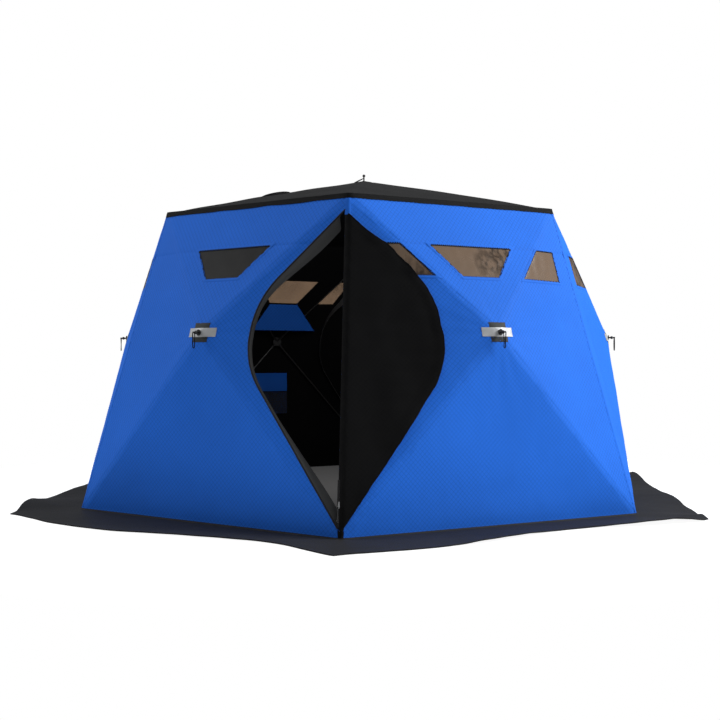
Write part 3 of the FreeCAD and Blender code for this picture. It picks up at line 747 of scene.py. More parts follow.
NYLON = plastic("black_nylon", (0.006, 0.006, 0.0065))
FIBRE = glass_fibre("fibreglass")
ZIP_METAL = metal("zip_metal", (0.46, 0.46, 0.47))
ZIP_TAPE = fabric("zip_tape", (0.012, 0.012, 0.013), thread=0.0014, mottle=0.15)
COIL = plastic("zip_coil", (0.020, 0.020, 0.021), 0.35)
NET = netting("pocket_net", (0.010, 0.010, 0.010))


# ---- walls


def wall_outline():
    low, high = 0.003, EAVE - 0.003
    wide, narrow = float(half_width(low)), float(half_width(high))
    return stepped([(-wide, low), (wide, low), (narrow, high), (-narrow, high)], QUILT)


def wall_seams():
    """The level seam under the eave band, and the seams along the ridges from the hub to the corners."""
    wide = float(half_width(SEAM_HEIGHT)) - 0.004
    seams = [stepped([(-wide, SEAM_HEIGHT + off), (wide, SEAM_HEIGHT + off)], QUILT, closed=False)
             for off in (-SEAM_HALF, 0, SEAM_HALF)]
    ends = [(x * float(half_width(z)) * 0.985, z) for x in (-1, 1) for z in (0.02, EAVE - 0.02)]
    for end in ends:
        seams.append(stepped([(end[0] * 0.05, HUB + (end[1] - HUB) * 0.05), end], QUILT, closed=False))
    return seams


def wall_layout(wall):
    holes = [stepped(outline, QUILT) for outline in WINDOWS[wall].values()]
    if wall in DOORWAYS:
        holes.append(doorway(*DOORWAYS[wall][1:]))
    seams = []
    for seam in wall_seams():
        keep = np.ones(len(seam), bool)
        for hole in holes:
            keep &= ~inside(seam, hole) & (run_distance(seam, hole) > 0.003)
        runs = np.split(np.arange(len(seam)), np.flatnonzero(~keep))
        seams += [seam[run[keep[run]]] for run in runs if keep[run].sum() > 1]
    return layout(wall_outline(), holes, seams)


def make_walls():
    """One continuous quilted sheet for each wall, cut out for its windows and doorway."""
    plain = wall_layout(0)
    height = math.hypot(REACH - EAVE_REACH, EAVE - HUB) + HUB
    for wall, name in WALLS.items():
        flat, faces, near = wall_layout(wall) if wall in DOORWAYS else plain
        s, z = flat.T
        relief = PUFF * quilt_relief(s, z) * smooth(near, 0.002, 0.012)
        relief -= SEAM_DIP * (1 - smooth(near, 0, 0.004))
        shape = Shape().add(on_wall(wall, s, z, relief), faces, flat)
        thing = shape.build(sheet_of(wall), [BLUE_QUILT, BLACK_QUILT], "wall_fabric", FABRIC, back=1)
        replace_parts(thing, f"wall_{name}")
        cloth(thing, (GROUND_RADIUS, height), f"rods_{name}", shape.area())


TAPE_HALF = 0.012
BLACK_TAPE_TOP = 1.72


def make_corner_tapes():
    """The bound seam down each corner edge, over both walls' fabric. Where the front door folds back on its
    corner, the tape is black and reaches the doorway."""
    heights = np.linspace(0.012, EAVE - 0.006, 130)
    lifts = np.array([0.0004, 0.0012, 0.0014, 0.0016, 0.0014, 0.0012, 0.0004])
    for corner in range(SIDES):
        left = CORNER_STRIP + 0.001 if corner == 0 else TAPE_HALF
        offsets = np.array([-left, -left + 0.002, -0.004, 0, 0.004, 0.010, TAPE_HALF])
        rows = []
        for offset, lift in zip(offsets, lifts):
            wall = wall_number(corner if offset > 0 else corner - 1)
            side = -1 if offset > 0 else 1
            rows.append(on_wall(wall, side * (half_width(heights) - abs(offset)), heights, lift))
        turn = 2 * corner * HALF_TURN
        rows[3] = np.outer(2 * half_width(heights) + 0.0016, [math.sin(turn), -math.cos(turn), 0])
        rows[3][:, 2] = heights
        shape = Shape().grid(np.array(rows))
        if corner == 0:
            middles = (heights[1:] + heights[:-1]) / 2
            shape.numbers = np.tile(middles < BLACK_TAPE_TOP, 6).astype(int).tolist()
        thing = shape.build(f"corner_tape_{corner}", [BLUE_PLAIN, HEM_BLACK], "wall_fabric", 0.0012)
        cloth(thing, (left + TAPE_HALF, 1.87), sheet_of(wall_number(corner)))


# ---- roof


def make_roof():
    """Six panels in one sheet, with a taped seam over each ridge."""
    turns = 2 * HALF_TURN * np.arange(SIDES)
    corners = EAVE_RADIUS * np.stack([np.sin(turns), -np.cos(turns)], axis=1)
    spacing = 0.022
    ridges = []
    for x, y in corners:
        heading = np.array([x, y]) / EAVE_RADIUS
        across = np.array([-heading[1], heading[0]])
        for off in (-0.013, 0, 0.013):
            ends = [heading * reach + across * off for reach in (0.09, EAVE_RADIUS - 0.02)]
            ridges.append(stepped(ends, spacing, closed=False))
    flat, faces, near = layout(stepped(corners, spacing), seams=ridges, pitch=spacing)
    x, y = flat.T
    tape = 0.0014 * (1 - smooth(near, 0.002, 0.006))
    shape = Shape().add(np.stack([x, y, roof_height(x, y) + tape], axis=1), faces, flat)
    roof = shape.build("roof_sheet", [ROOF_BLACK, BLACK_QUILT], "roof_fabric", FABRIC, back=1, rim=0)
    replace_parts(roof, "roof")
    hem = make_eave_hem()
    cloth(roof, (2 * EAVE_RADIUS, 2 * EAVE_REACH * 1.03), "rods_roof", shape.area())
    make_apex_patch()


def ring_rows(rows, steps):
    """A ring of points round all six walls, from rows(wall, t) at t from -1 to 1, with shared corners."""
    t = np.linspace(-1, 1, steps)
    sides = [rows(wall_number(wall), t) for wall in range(SIDES)]
    for i, side in enumerate(sides):
        middle = (sides[i - 1][:, -1] + side[:, 0]) / 2
        sides[i - 1][:, -1] = middle
        side[:, 0] = middle
    return np.concatenate([side[:, :-1] for side in sides], axis=1)


def make_eave_hem():
    """The roof's turned-down edge, a soft black band over the top of the walls."""

    def rows(wall, t):
        along, outward = wall_axes(wall)
        points = []
        for back in (0.030, 0.016, 0.006):
            reach = EAVE_REACH - back
            flat = t[:, None] * reach * math.tan(HALF_TURN) * along + reach * outward
            lift = 0.0085 if back < 0.03 else 0.0004
            flat[:, 2] = roof_height(flat[:, 0], flat[:, 1]) + lift
            points.append(flat)
        drape = 0.0025 * ripple(np.stack([t * 0.7, t * 0 + wall], axis=1), 0.16, 5)
        for down, lift in ((-0.006, 0.0072), (0.006, 0.0056), (0.015, 0.0040), (0.023, 0.0034)):
            z = EAVE - down + drape * down / 0.025
            points.append(on_wall(wall, t * half_width(z), z, lift))
        return np.array(points)

    grid = ring_rows(rows, 61)
    return Shape().grid(grid[::-1], closed=True).build("eave_hem", [HEM_BLACK], "roof_fabric", 0.0016)


def make_apex_patch():
    """The stitched disc that backs the roof's hub."""
    turns = np.linspace(0, 2 * math.pi, 72, endpoint=False)
    rows = []
    for radius, lift in ((0.006, 0.0010), (0.03, 0.0012), (0.045, 0.0020), (0.060, 0.0020), (0.066, 0.0016),
                         (0.068, 0.0002)):
        x, y = radius * np.sin(turns), -radius * np.cos(turns)
        rows.append(np.stack([x, y, roof_height(x, y) + lift], axis=1))
    shape = Shape().grid(np.array(rows)[::-1], closed=True)
    patch = shape.build("apex_patch", [HEM_BLACK], "roof_fabric", 0.0008)
    cloth(patch, (2 * radius, 2 * radius), "roof_sheet", math.pi * radius**2)


VENT_TURN = math.radians(-60)
VENT_RADIUS, VENT_HALF = 0.665, 0.095
VENT_BACK, VENT_CREST, VENT_MOUTH, VENT_RISE = -0.060, 0.064, 0.084, 0.014


def vent_point(out, across, lift):
    """A point at lift above the roof, placed from the vent's middle."""
    outward = np.array([math.sin(VENT_TURN), -math.cos(VENT_TURN)])
    side = np.array([math.cos(VENT_TURN), math.sin(VENT_TURN)])
    flat = np.outer(VENT_RADIUS + out, outward) + np.outer(across, side)
    return np.column_stack([flat, roof_height(flat[:, 0], flat[:, 1]) + lift])


def make_vent():
    """A soft hood that rises out of the roof to a lens-shaped mouth, with a stiff lip and a mesh screen."""
    out = np.linspace(-VENT_HALF, VENT_HALF, 41)
    bow = 1 - (out / VENT_HALF) ** 2
    hood = []
    for share in np.linspace(0, 1, 25):
        across = VENT_BACK + (VENT_CREST - VENT_BACK) * share * np.ones_like(out)
        across = across * (0.55 + 0.45 * bow) if share > 0.5 else across
        rise = VENT_RISE * bow**0.7 * smooth(share, 0.05, 1.0) * (1 + 0.05 * np.sin(share * 19))
        hood.append(vent_point(out, across, 0.0012 + rise))
    hood = np.array(hood)
    shape = Shape().grid(hood)
    thing = shape.build("vent_hood", [HEM_BLACK], "roof_fabric", 0.002)
    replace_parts(thing, "roof_vent")
    lip = cord("vent_lip", hood[-1] + [0, 0, -0.001], 0.0034, "roof_fabric")
    foot = vent_point(out, VENT_MOUTH * (0.55 + 0.45 * bow) - 0.010, 0.001)
    screen = Shape().grid(np.array([hood[-1] * (1 - share) + foot * share - [0, 0, 0.0012 * (1 - share)]
                                    for share in np.linspace(0, 1, 7)]))
    mesh = screen.build("vent_screen", [HEM_BLACK], "roof_fabric", 0.0008)
    cloth(thing, (2 * VENT_HALF, 0.145), "roof_sheet", shape.area())
    cloth(mesh, (2 * VENT_HALF, 0.030), "vent_hood", screen.area())


# ---- windows and their covers


def make_windows():
    """A crinkled vinyl pane in each opening, with a flat border sewn round it."""
    panes, borders = [], []
    for wall, windows in WINDOWS.items():
        for place, outline in windows.items():
            name = f"{WALLS[wall]}_{place}"
            seed = 100 + 7 * wall + len(place)
            flat, faces, _ = layout(stepped(grown(outline, 0.005), 0.012), pitch=0.012)
            calm = smooth(run_distance(flat, np.array(outline)), 0, 0.02)
            crinkle = 0.0007 * ripple(flat, 0.075, seed) * calm
            shape = Shape().add(on_wall(wall, *flat.T, -0.0012 + crinkle), faces, flat)
            glass = SMOKE_VINYL if (wall, place) == CLOSED_WINDOW else TAN_VINYL
            panes.append(shape.build(f"pane_{name}", [glass], "vinyl", 0.0006))
            cloth(panes[-1], flat.max(0) - flat.min(0), sheet_of(wall), shape.area())
            borders.append(make_border(wall, name, outline))
    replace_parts(panes[0], "window_panes")
    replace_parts(borders[0], "window_borders")


def make_border(wall, name, outline):
    """The flat strip round a window: blue, with a line of stitches and a black edge beside the vinyl."""
    outer, inner = stepped(grown(outline, BORDER), 0.01), stepped(outline, 0.01)
    flat, faces, _ = layout(outer, [inner], pitch=0.0063)
    edge = np.minimum(run_distance(flat, outer), run_distance(flat, inner))
    stitches = 1 - smooth(np.abs(edge - BORDER_STITCH), 0, 0.0016)
    lift = 0.0009 + 0.0016 * smooth(edge, 0, 0.003) - 0.0005 * stitches
    shape = Shape().add(on_wall(wall, *flat.T, lift), faces, flat)
    centres = np.array([flat[list(face)].mean(0) for face in faces])
    shape.numbers = (run_distance(centres, inner) < BORDER_STITCH).astype(int).tolist()
    border = shape.build(f"border_{name}", [BLUE_PLAIN, HEM_BLACK], "border_fabric", 0.001)
    cloth(border, (2 * BORDER, shape.area() / BORDER / 2), sheet_of(wall), shape.area())
    return border


def make_covers():
    """The soft flap inside each window, with its bound hem, hanging from the tape along its lower edge."""
    for node in [name for name in frame["nodes"] if name.startswith("cover_")]:
        closed = node == "cover_{}_{}".format(WALLS[CLOSED_WINDOW[0]], CLOSED_WINDOW[1])
        joint = JOINTS[f"{node}_hinge"]
        hinge, level = np.array(joint["pos_m"]), np.array(joint["axis"])
        vertices = np.array([v.co for v in frame["nodes"][node].data.vertices])
        middle = vertices.mean(0)
        across = np.linalg.svd(vertices - middle)[2][2]
        if (across @ (-middle * [1, 1, 0]) < 0) != closed:
            across = -across
        down = np.cross(across, level)
        if down @ (middle - hinge) < 0:
            level, down = -level, -down
        flat_vertices = np.stack([(vertices - hinge) @ level, (vertices - hinge) @ down], axis=1)
        outline = anticlockwise(stepped(hull_of(flat_vertices), 0.012))
        flat, faces, _ = layout(outline)
        sway = 0.0008 if closed else 0.0024
        seed = len(node) + int(1000 * abs(hinge[0]))
        wave = sway * (ripple(flat, 0.13, seed) - 1) * smooth(flat[:, 1], 0.01, 0.12)
        puff = 0.0008 * quilt_relief(*flat.T) * smooth(run_distance(flat, outline), 0.006, 0.014)
        height = (np.abs((vertices - hinge) @ across).max() - COVER_THICK / 2) + wave + puff * (not closed)

        def placed(flat, height):
            return hinge + flat[:, :1] * level + flat[:, 1:] * down + height[:, None] * across

        shape = Shape().add(placed(flat, height), faces, flat)
        looks = [COVER_GREY, COVER_GREY] if closed else [BLUE_QUILT, COVER_GREY]
        sheet = shape.build(f"{node}_sheet", looks, "cover_fabric", COVER_THICK, back=1, body=node)
        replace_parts(sheet, node)
        edge = placed(outline - 0.002 * beside(outline, closed=True),
                      nearest_values(outline, flat, height) - COVER_THICK / 2)
        hem = cord(f"{node}_hem", edge, 0.0021, "cover_fabric", body=node, closed=True, squash=0.8)
        cloth(sheet, flat.max(0) - flat.min(0), "shelter", shape.area())
        make_cover_tape(node, hinge, level, across, flat_vertices)


def anticlockwise(outline):
    (x, y), (next_x, next_y) = outline.T, np.roll(outline, -1, axis=0).T
    return outline if np.sum(x * next_y - y * next_x) > 0 else outline[::-1]


def hull_of(points):
    """The convex outline round flat points, each corner given once."""
    points = np.unique(np.round(points, 3), axis=0)
    hull = [points[i] for i in convex_hull_2d([Vector(p) for p in points])]
    return [p for p, after in zip(hull, hull[1:] + hull[:1]) if np.linalg.norm(after - p) > 0.003]


def nearest_values(wanted, places, values):
    """The value at the place nearest to each wanted point."""
    return np.array([values[np.argmin(np.linalg.norm(places - p, axis=1))] for p in wanted])


def make_cover_tape(node, hinge, level, across, flat_vertices):
    """The narrow tape that joins a cover's lower edge to the wall."""
    wide = np.abs(flat_vertices[flat_vertices[:, 1] < 0.004][:, 0]).max() - 0.004
    reach = np.array([0, 0, 0.010])
    outward = hinge * [1, 1, 0] / np.linalg.norm(hinge[:2])
    x = np.linspace(-wide, wide, 30)
    rows = []
    for share in np.linspace(0, 1, 5):
        bow = math.sin(share * math.pi) * 0.0015
        rows.append(hinge + x[:, None] * level + share * (reach + outward * 0.0052) + bow * across)
    tape = Shape().grid(np.array(rows)).build(f"{node}_tape", [HEM_BLACK], "cover_fabric", 0.0008)
    cloth(tape, (2 * wide, 0.012), "shelter")


# ---- doors


def make_door(side, looks):
    """A D-shaped door on the wall after its corner, from the tape at the corner edge to its bound edge."""
    doorway_wall, nose, _ = DOORS[side]
    wall, folded = wall_number(doorway_wall + (side == "front")), side == "front"
    curve = door_curve(nose, DOOR_OVERLAP, strip=0.0) * [-1, 1]
    out = -beside(curve)
    count = np.arange(len(curve))
    loose = smooth(count, 2, 14) * smooth(count[::-1], 2, 14)
    wander = 0.0075 * ripple(curve, 0.19, 31) + 0.0025 * ripple(curve, 0.07, 32)
    wander *= 0.3 + 0.7 * smooth(curve[:, 1], 0.85, 1.2) if folded else 0.3
    curve = curve + out * (wander * loose)[:, None]
    seams = []
    if folded:
        curve = slumped(curve)
    else:
        seams = [curve[6:-6] - out[6:-6] * ZIP_INSET]
    heights = np.linspace(curve[-1, 1], curve[0, 1], 130)[1:-1]
    back = np.stack([-half_width(heights) - DOOR_TUCK, heights], axis=1)
    flat, faces, near = layout(anticlockwise(np.concatenate([curve, back])), seams=seams)
    s, z = flat.T
    edge = run_distance(flat, curve, closed=False)
    q = s + half_width(z)
    face = DOOR_LIFT + DOOR_THICK / 2
    lift = 0.0022 + (face - 0.0022) * smooth(q, -DOOR_TUCK, 0.004)
    puff = PUFF * quilt_relief(s, z) * smooth(edge, 0.006, 0.016) * smooth(np.abs(q), 0.004, 0.02)
    if folded:
        slack = smooth(q, 0.02, 0.2)
        wave = 0.0035 * (1 + ripple(flat, 0.30, 33)) * slack + 0.0012 * ripple(flat, 0.09, 34) * slack
        curl = 0.006 * (1 + ripple(flat, 0.2, 35)) * (1 - smooth(edge, 0, 0.06)) * slack
        lift = lift + np.clip(wave + curl, 0, 0.02)
    else:
        lift = lift - 0.0058 * (1 - smooth(edge, 0.002, 0.018)) * smooth(q, 0.004, 0.02)
        lift = lift - 0.0012 * (1 - smooth(near, 0, 0.004))
        puff = puff * smooth(near, 0.012, 0.02)
    name, body = f"{side}_door_flap", f"{side}_door"
    shape = Shape().add(round_corner(wall, s, z, lift + puff), faces, flat)
    thing = shape.build(name, looks, "wall_fabric", DOOR_THICK, back=1, body=None)
    rim = round_corner(wall, *curve.T, nearest_values(curve, flat, lift) - DOOR_THICK / 2)
    pieces = [thing, cord(f"{name}_binding", rim, 0.0034, "zip_metal", body=None)]
    normal = side_normal(wall, -1)
    for seam in seams:
        coil = round_corner(wall, *seam.T, face + 0.0008)
        pieces.append(zip_chain(f"{name}_zip", coil, normal, None))
    start, axis = (np.array(JOINTS[f"{body}_hinge"][key]) for key in ("pos_m", "axis"))
    away = np.cross(axis, normal)
    away *= np.sign(away @ wall_axes(wall)[0])
    for piece in pieces:
        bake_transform(piece)
    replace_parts(thing, body)
    cloth(thing, flat.max(0) - flat.min(0), "shelter", shape.area())


def slumped(curve):
    """The folded door's edge as it hangs: lower at the top, and drawn towards the hinge in its middle."""
    s, z = curve.T
    from_hinge = (s + half_width(z)) * (1 - 0.055 * np.exp(-((z - 1.1) / 0.45) ** 2))
    z = z - 0.036 * smooth(z, 1.50, 1.74)
    return np.stack([from_hinge - half_width(z), z], axis=1)


def zip_chain(name, path, normal, body):
    """A zip's coil between its two tapes: small teeth along a path that lies on a face with this normal."""
    lengths = along_path(path)
    stops = np.arange(0, lengths[-1], 0.0036)
    places = np.stack([np.interp(stops, lengths, column) for column in path.T], axis=1)
    runs = headings(places)
    across = np.cross(runs, normal)
    shape = Shape()
    square = ((-1, -1), (1, -1), (1, 1), (-1, 1))
    corners = [(a, b, 0) for a, b in square] + [(0.8 * a, 0.7 * b, 1) for a, b in square]
    box = [(3, 2, 1, 0), (4, 5, 6, 7), (0, 1, 5, 4), (1, 2, 6, 5), (2, 3, 7, 6), (3, 0, 4, 7)]
    for i, place in enumerate(places):
        side = 0.0009 if i % 2 else -0.0009
        points = [place + across[i] * (0.0024 * a + side) + runs[i] * 0.0011 * b + normal * 0.0019 * c
                  for a, b, c in corners]
        shape.add(points, box, [(0, 0)] * 8)
    tape = ((0.012, 0.0001), (0.008, 0.0009), (0, 0.0009), (-0.008, 0.0009), (-0.012, 0.0001))
    shape.grid(np.stack([places + across * x + normal * lift for x, lift in tape]), number=1)
    return shape.build(name, [COIL, ZIP_TAPE], "zip_metal", body=body)


def make_doors():
    make_door("front", [BLACK_QUILT, BLUE_QUILT])
    make_door("rear", [BLUE_QUILT, BLACK_QUILT])
    for side in DOORS:
        make_doorway_edge(side)
    heights = np.linspace(0.066, 0.300, 60)
    chain = on_wall(-1, half_width(heights) - 0.0126, heights, 0.0016)
    zip_chain("front_corner_zip", chain, side_normal(-1, 1), "shelter")


# The binding's outline, as (off the doorway's edge, off the fabric), and how high the facing reaches.
DOORWAY_BINDING = ((-0.0022, -0.0040), (-0.0030, 0.0004), (-0.0012, 0.0020),
                   (0.0012, 0.0022), (0.0034, 0.0016), (0.0042, 0.0002))
FACING_SPAN, FACING_DEPTH = (0.075, 1.725), 0.038


def make_doorway_edge(side):
    """What is sewn round a doorway's curved edge: the zip's half outside, and the facing that stands in."""
    wall, nose, sign = DOORS[side]
    curve = door_curve(nose)
    away = beside(curve)
    length = float(along_path(curve)[-1])

    def sewn(keep, off, lift):
        place = curve[keep] + away[keep] * off
        return on_wall(wall, place[:, 0] * sign, place[:, 1], lift)

    everywhere = slice(None)
    grid = np.array([sewn(everywhere, off, lift) for off, lift in DOORWAY_BINDING])
    shape = Shape().grid(grid[::sign])
    binding = shape.build(f"{side}_doorway_binding", [ZIP_TAPE], "zip_metal", 0.0010)
    cloth(binding, (0.012, length), sheet_of(wall))
    lower, upper = FACING_SPAN
    keep = (curve[:, 1] > lower) & (curve[:, 1] < upper)
    z = curve[keep, 1]
    near_end = np.minimum(smooth(z, lower, lower + 0.05), 1 - smooth(z, upper - 0.05, upper))
    deep = 0.004 + FACING_DEPTH * near_end
    spread = near_end * (0.004 + 0.046 * smooth(z, 1.20, 1.60) + 0.032 * (1 - smooth(z, 0.15, 0.65)))
    rows = []
    for share in np.linspace(0, 1, 9):
        wave = 0.0022 * ripple(np.stack([z, z * 0 + share], axis=1), 0.2, 51) * share
        rows.append(sewn(keep, (0.0008 + wave - spread * share)[:, None], -0.0026 - deep * share))
    grid = np.array(rows)
    facing = Shape().grid(grid[::-sign]).build(f"{side}_facing", [FACING], "grey_fabric", 0.0022)
    cloth(facing, (0.068, length), sheet_of(wall), Shape().grid(grid).area())
    if side == "front":
        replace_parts(facing, "door_plackets")


# ---- hub dressings, loops and pulls

# Cord loops: width, length and the strand's thickness.
WALL_LOOP, ROOF_LOOP, ZIP_PULL = (0.0200, 0.092, 0.0056), (0.0200, 0.092, 0.0046), (0.012, 0.078, 0.0026)
ROOF_DROOP = math.radians(27.5)


def patch_sheet(name, wall, size, lift, look, slot, thick, seed):
    """A small sheet that follows the wall's four panels round its hub, stitched down near its edges."""
    wide, high = size
    s, z = np.meshgrid(np.linspace(-wide / 2, wide / 2, 57), HUB + np.linspace(-high / 2, high / 2, 25))
    flat = np.stack([s, z], axis=2)
    s, z = s.ravel(), z.ravel()
    edge = np.minimum(wide / 2 - np.abs(s), high / 2 - np.abs(z - HUB))
    near_hub = np.exp(-((np.hypot(s, z - HUB) / 0.03) ** 2))
    stitched = 1 - smooth(np.abs(edge - 0.0045), 0, 0.0022)
    bow = 0.0007 * ripple(np.stack([s, z], axis=1), 0.05, seed) * (1 - near_hub)
    corner = smooth(np.abs(s) / wide + np.abs(z - HUB) / high, 0.9, 1.0)
    height = lift + bow - 0.0005 * stitched + 0.0014 * corner - 0.0006 * (1 - smooth(edge, 0, 0.0015))
    grid = on_wall(wall, s, z, height).reshape(*flat.shape[:2], 3)
    made = Shape().grid(grid, flat=flat).build(name, [look], slot, thick)
    cloth(made, size, sheet_of(wall))
    return made


# Each kind's size, lift off the wall, look, slot, thickness and first seed.
HUB_DRESSINGS = {"patch": ((0.108, 0.108), 0.0024, PATCH, "patch_fabric", 0.0011, 70),
                 "strip": ((0.196, 0.050), 0.0036, SILVER, "reflective_tape", 0.0009, 80)}


def make_hub_dressings():
    """The backing patch and the reflective strip across it, behind each wall's hub."""
    for wall, name in WALLS.items():
        pieces = [patch_sheet(f"{kind}_{name}", wall, *dressing, seed + wall)
                  for kind, (*dressing, seed) in HUB_DRESSINGS.items()]
        if wall == 0:
            for piece, node in zip(pieces, ("hub_patches", "reflective_strips")):
                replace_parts(piece, node)


def cord_loop(name, node, hang, across, size, look, slot):
    """A loop of cord through its post: over the pin, down in two strands, and round at the end. Gives the
    place, the direction and the half width that a grip on it would need."""
    wide, length, strand = size
    pin = np.array(JOINTS[f"{node}_swing"]["pos_m"])
    out = np.cross(across, hang)
    half = wide / 2 - strand / 2
    low = half * 0.78
    end = length - strand - low
    top = [(half * 0.55, 0), (half * 0.86, length * 0.006), (half * 0.98, length * 0.04)]
    right = [(half - (half - low) * smooth(y, 0.1, 0.7), end * y) for y in np.linspace(0.10, 1, 22)]
    bottom = [(low * math.cos(a), end + low * math.sin(a)) for a in np.linspace(0, math.pi, 17)[1:-1]]
    left = [(-x, y) for x, y in reversed(top + right)]
    loop = np.array(left[-3:] + [(0, 0)] + top + right + bottom + left[:-3])
    bow = 0.0016 * np.sin(loop[:, 1] / length * math.pi) * np.sign(loop[:, 0] + 1e-6)
    path = pin + loop[:, :1] * across + loop[:, 1:] * hang + bow[:, None] * out
    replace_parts(cord(name, path, strand / 2, slot, look, node, closed=True), node)
    return pin + hang * end * 0.72, out, low + strand * 0.9


def make_loops():
    down = np.array([0, 0, -1.0])
    for wall, name in WALLS.items():
        cord_loop(f"loop_{name}", f"pull_loop_{name}", down, wall_axes(wall)[0], WALL_LOOP, CORD, "webbing")
    level, across = (np.array([math.sin(a), -math.cos(a), 0]) for a in (VENT_TURN, VENT_TURN + math.pi / 2))
    hang = level * math.cos(ROOF_DROOP) + down * math.sin(ROOF_DROOP)
    cord_loop("loop_roof", "pull_loop_roof", hang, across, ROOF_LOOP, CORD, "webbing")
    for side, (wall, _, sign) in DOORS.items():
        normal = side_normal(wall, sign)
        fall = down - normal * (normal @ down)
        fall /= np.linalg.norm(fall)
        across = np.cross(fall, normal)
        name, body = f"{side}_pull_cord", f"{side}_zip_pull"
        middle, out, wide = cord_loop(name, body, fall, across, ZIP_PULL, PULL_CORD, "pull_cord")
        make_grip(f"{name}_grip", body, middle, fall, across * wide, out * ZIP_PULL[2] * 0.95)


def make_grip(name, body, middle, along, across, out):
    """The moulded tip over a zip pull's cord."""
    turns = np.linspace(0, 2 * math.pi, 12, endpoint=False)
    rows = []
    for share in np.linspace(-1, 1, 15):
        girth = math.sqrt(max(0.0, 1 - abs(share) ** 4)) + 0.02
        rows.append([middle + along * share * 0.012 + (across * math.cos(a) + out * math.sin(a)) * girth
                     for a in turns])
    Shape().grid(np.array(rows), closed=True).build(name, [NYLON], "pull_cord", body=body)


# ---- storage pocket


POCKET_WALL = -3
POCKET_SIDES, POCKET_FOOT, POUCH_TOP, POCKET_TOP = (-0.105, 0.205), 0.465, 0.651, 0.808


def pocket_grid(top, columns, rows):
    across, up = np.linspace(*POCKET_SIDES, columns), np.linspace(POCKET_FOOT, top, rows)
    return np.stack(np.meshgrid(across, up), axis=2)


def make_pocket():
    """A flat panel on the wall opposite, with a gathered net pouch on its lower half."""
    wide = POCKET_SIDES[1] - POCKET_SIDES[0]
    slot = "pocket_mesh"

    def sewn(flat, lift, name, look, thick):
        points = on_wall(POCKET_WALL, *flat.reshape(-1, 2).T, lift.ravel()).reshape(*flat.shape[:2], 3)
        return points, Shape().grid(points[::-1], flat=flat[::-1]).build(name, [look], slot, thick)

    flat = pocket_grid(POCKET_TOP, 41, 45)
    sag = 0.0012 * ripple(flat.reshape(-1, 2), 0.12, 91)
    panel, back = sewn(flat, -0.0062 + sag, "pocket_panel", BLUE_PLAIN, 0.0014)
    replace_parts(back, "storage_pocket")
    flat = pocket_grid(POUCH_TOP, 61, 31)
    across = (flat[..., 0] - POCKET_SIDES[0]) / wide
    up = (flat[..., 1] - POCKET_FOOT) / (POUCH_TOP - POCKET_FOOT)
    bulge = 0.0105 * np.sin(math.pi * across) ** 0.5 * smooth(up, 0, 0.35) * (0.72 + 0.28 * up)
    gather = 0.0010 * np.sin(across * 70 + 2 * np.sin(up * 3)) * smooth(up, 0.4, 1)
    pouch, net = sewn(flat, -0.0076 - bulge - gather, "pocket_pouch", NET, 0.0008)
    band = cord("pocket_band", pouch[-1], 0.0032, slot, squash=0.8)
    ring = np.concatenate([panel[0, :-1], panel[:-1, -1], panel[-1, :0:-1], panel[:0:-1, 0]])
    edge = cord("pocket_binding", ring, 0.0034, slot, closed=True, squash=0.7)
    cloth(back, (wide, POCKET_TOP - POCKET_FOOT), sheet_of(POCKET_WALL))
    cloth(net, (wide + 0.02, POUCH_TOP - POCKET_FOOT + 0.01), "pocket_panel", None)


# ---- snow skirt


# How far the skirt's edge stands out of its plain curve at six places along a wall, and its waves' height.
SKIRT_PLACES = (-1, -0.6, -0.2, 0.3, 0.7, 1)
SKIRT_USUAL = (0, 0.02, -0.01, 0.01, -0.02, 0)
SKIRT_SWELL = {-2: (0, 0.04, 0.07, 0.08, 0.07, 0), -1: (0, 0.13, 0.18, 0.02, -0.10, 0),
               0: (0, 0.07, 0.08, -0.08, 0.03, 0), 1: (0, 0.05, 0.07, 0.07, 0.04, 0)}
SKIRT_RISE = {-2: 0.050, -1: 0.006, 1: 0.050}
SKIRT_USUAL_RISE = 0.022


def skirt_swell(wall, t):
    plain = np.interp(t, SKIRT_PLACES, SKIRT_SWELL.get(wall, SKIRT_USUAL))
    window = np.hanning(23) / np.hanning(23).sum()
    return np.convolve(np.pad(plain, 11, mode="edge"), window, mode="valid") * (1 - t**8)


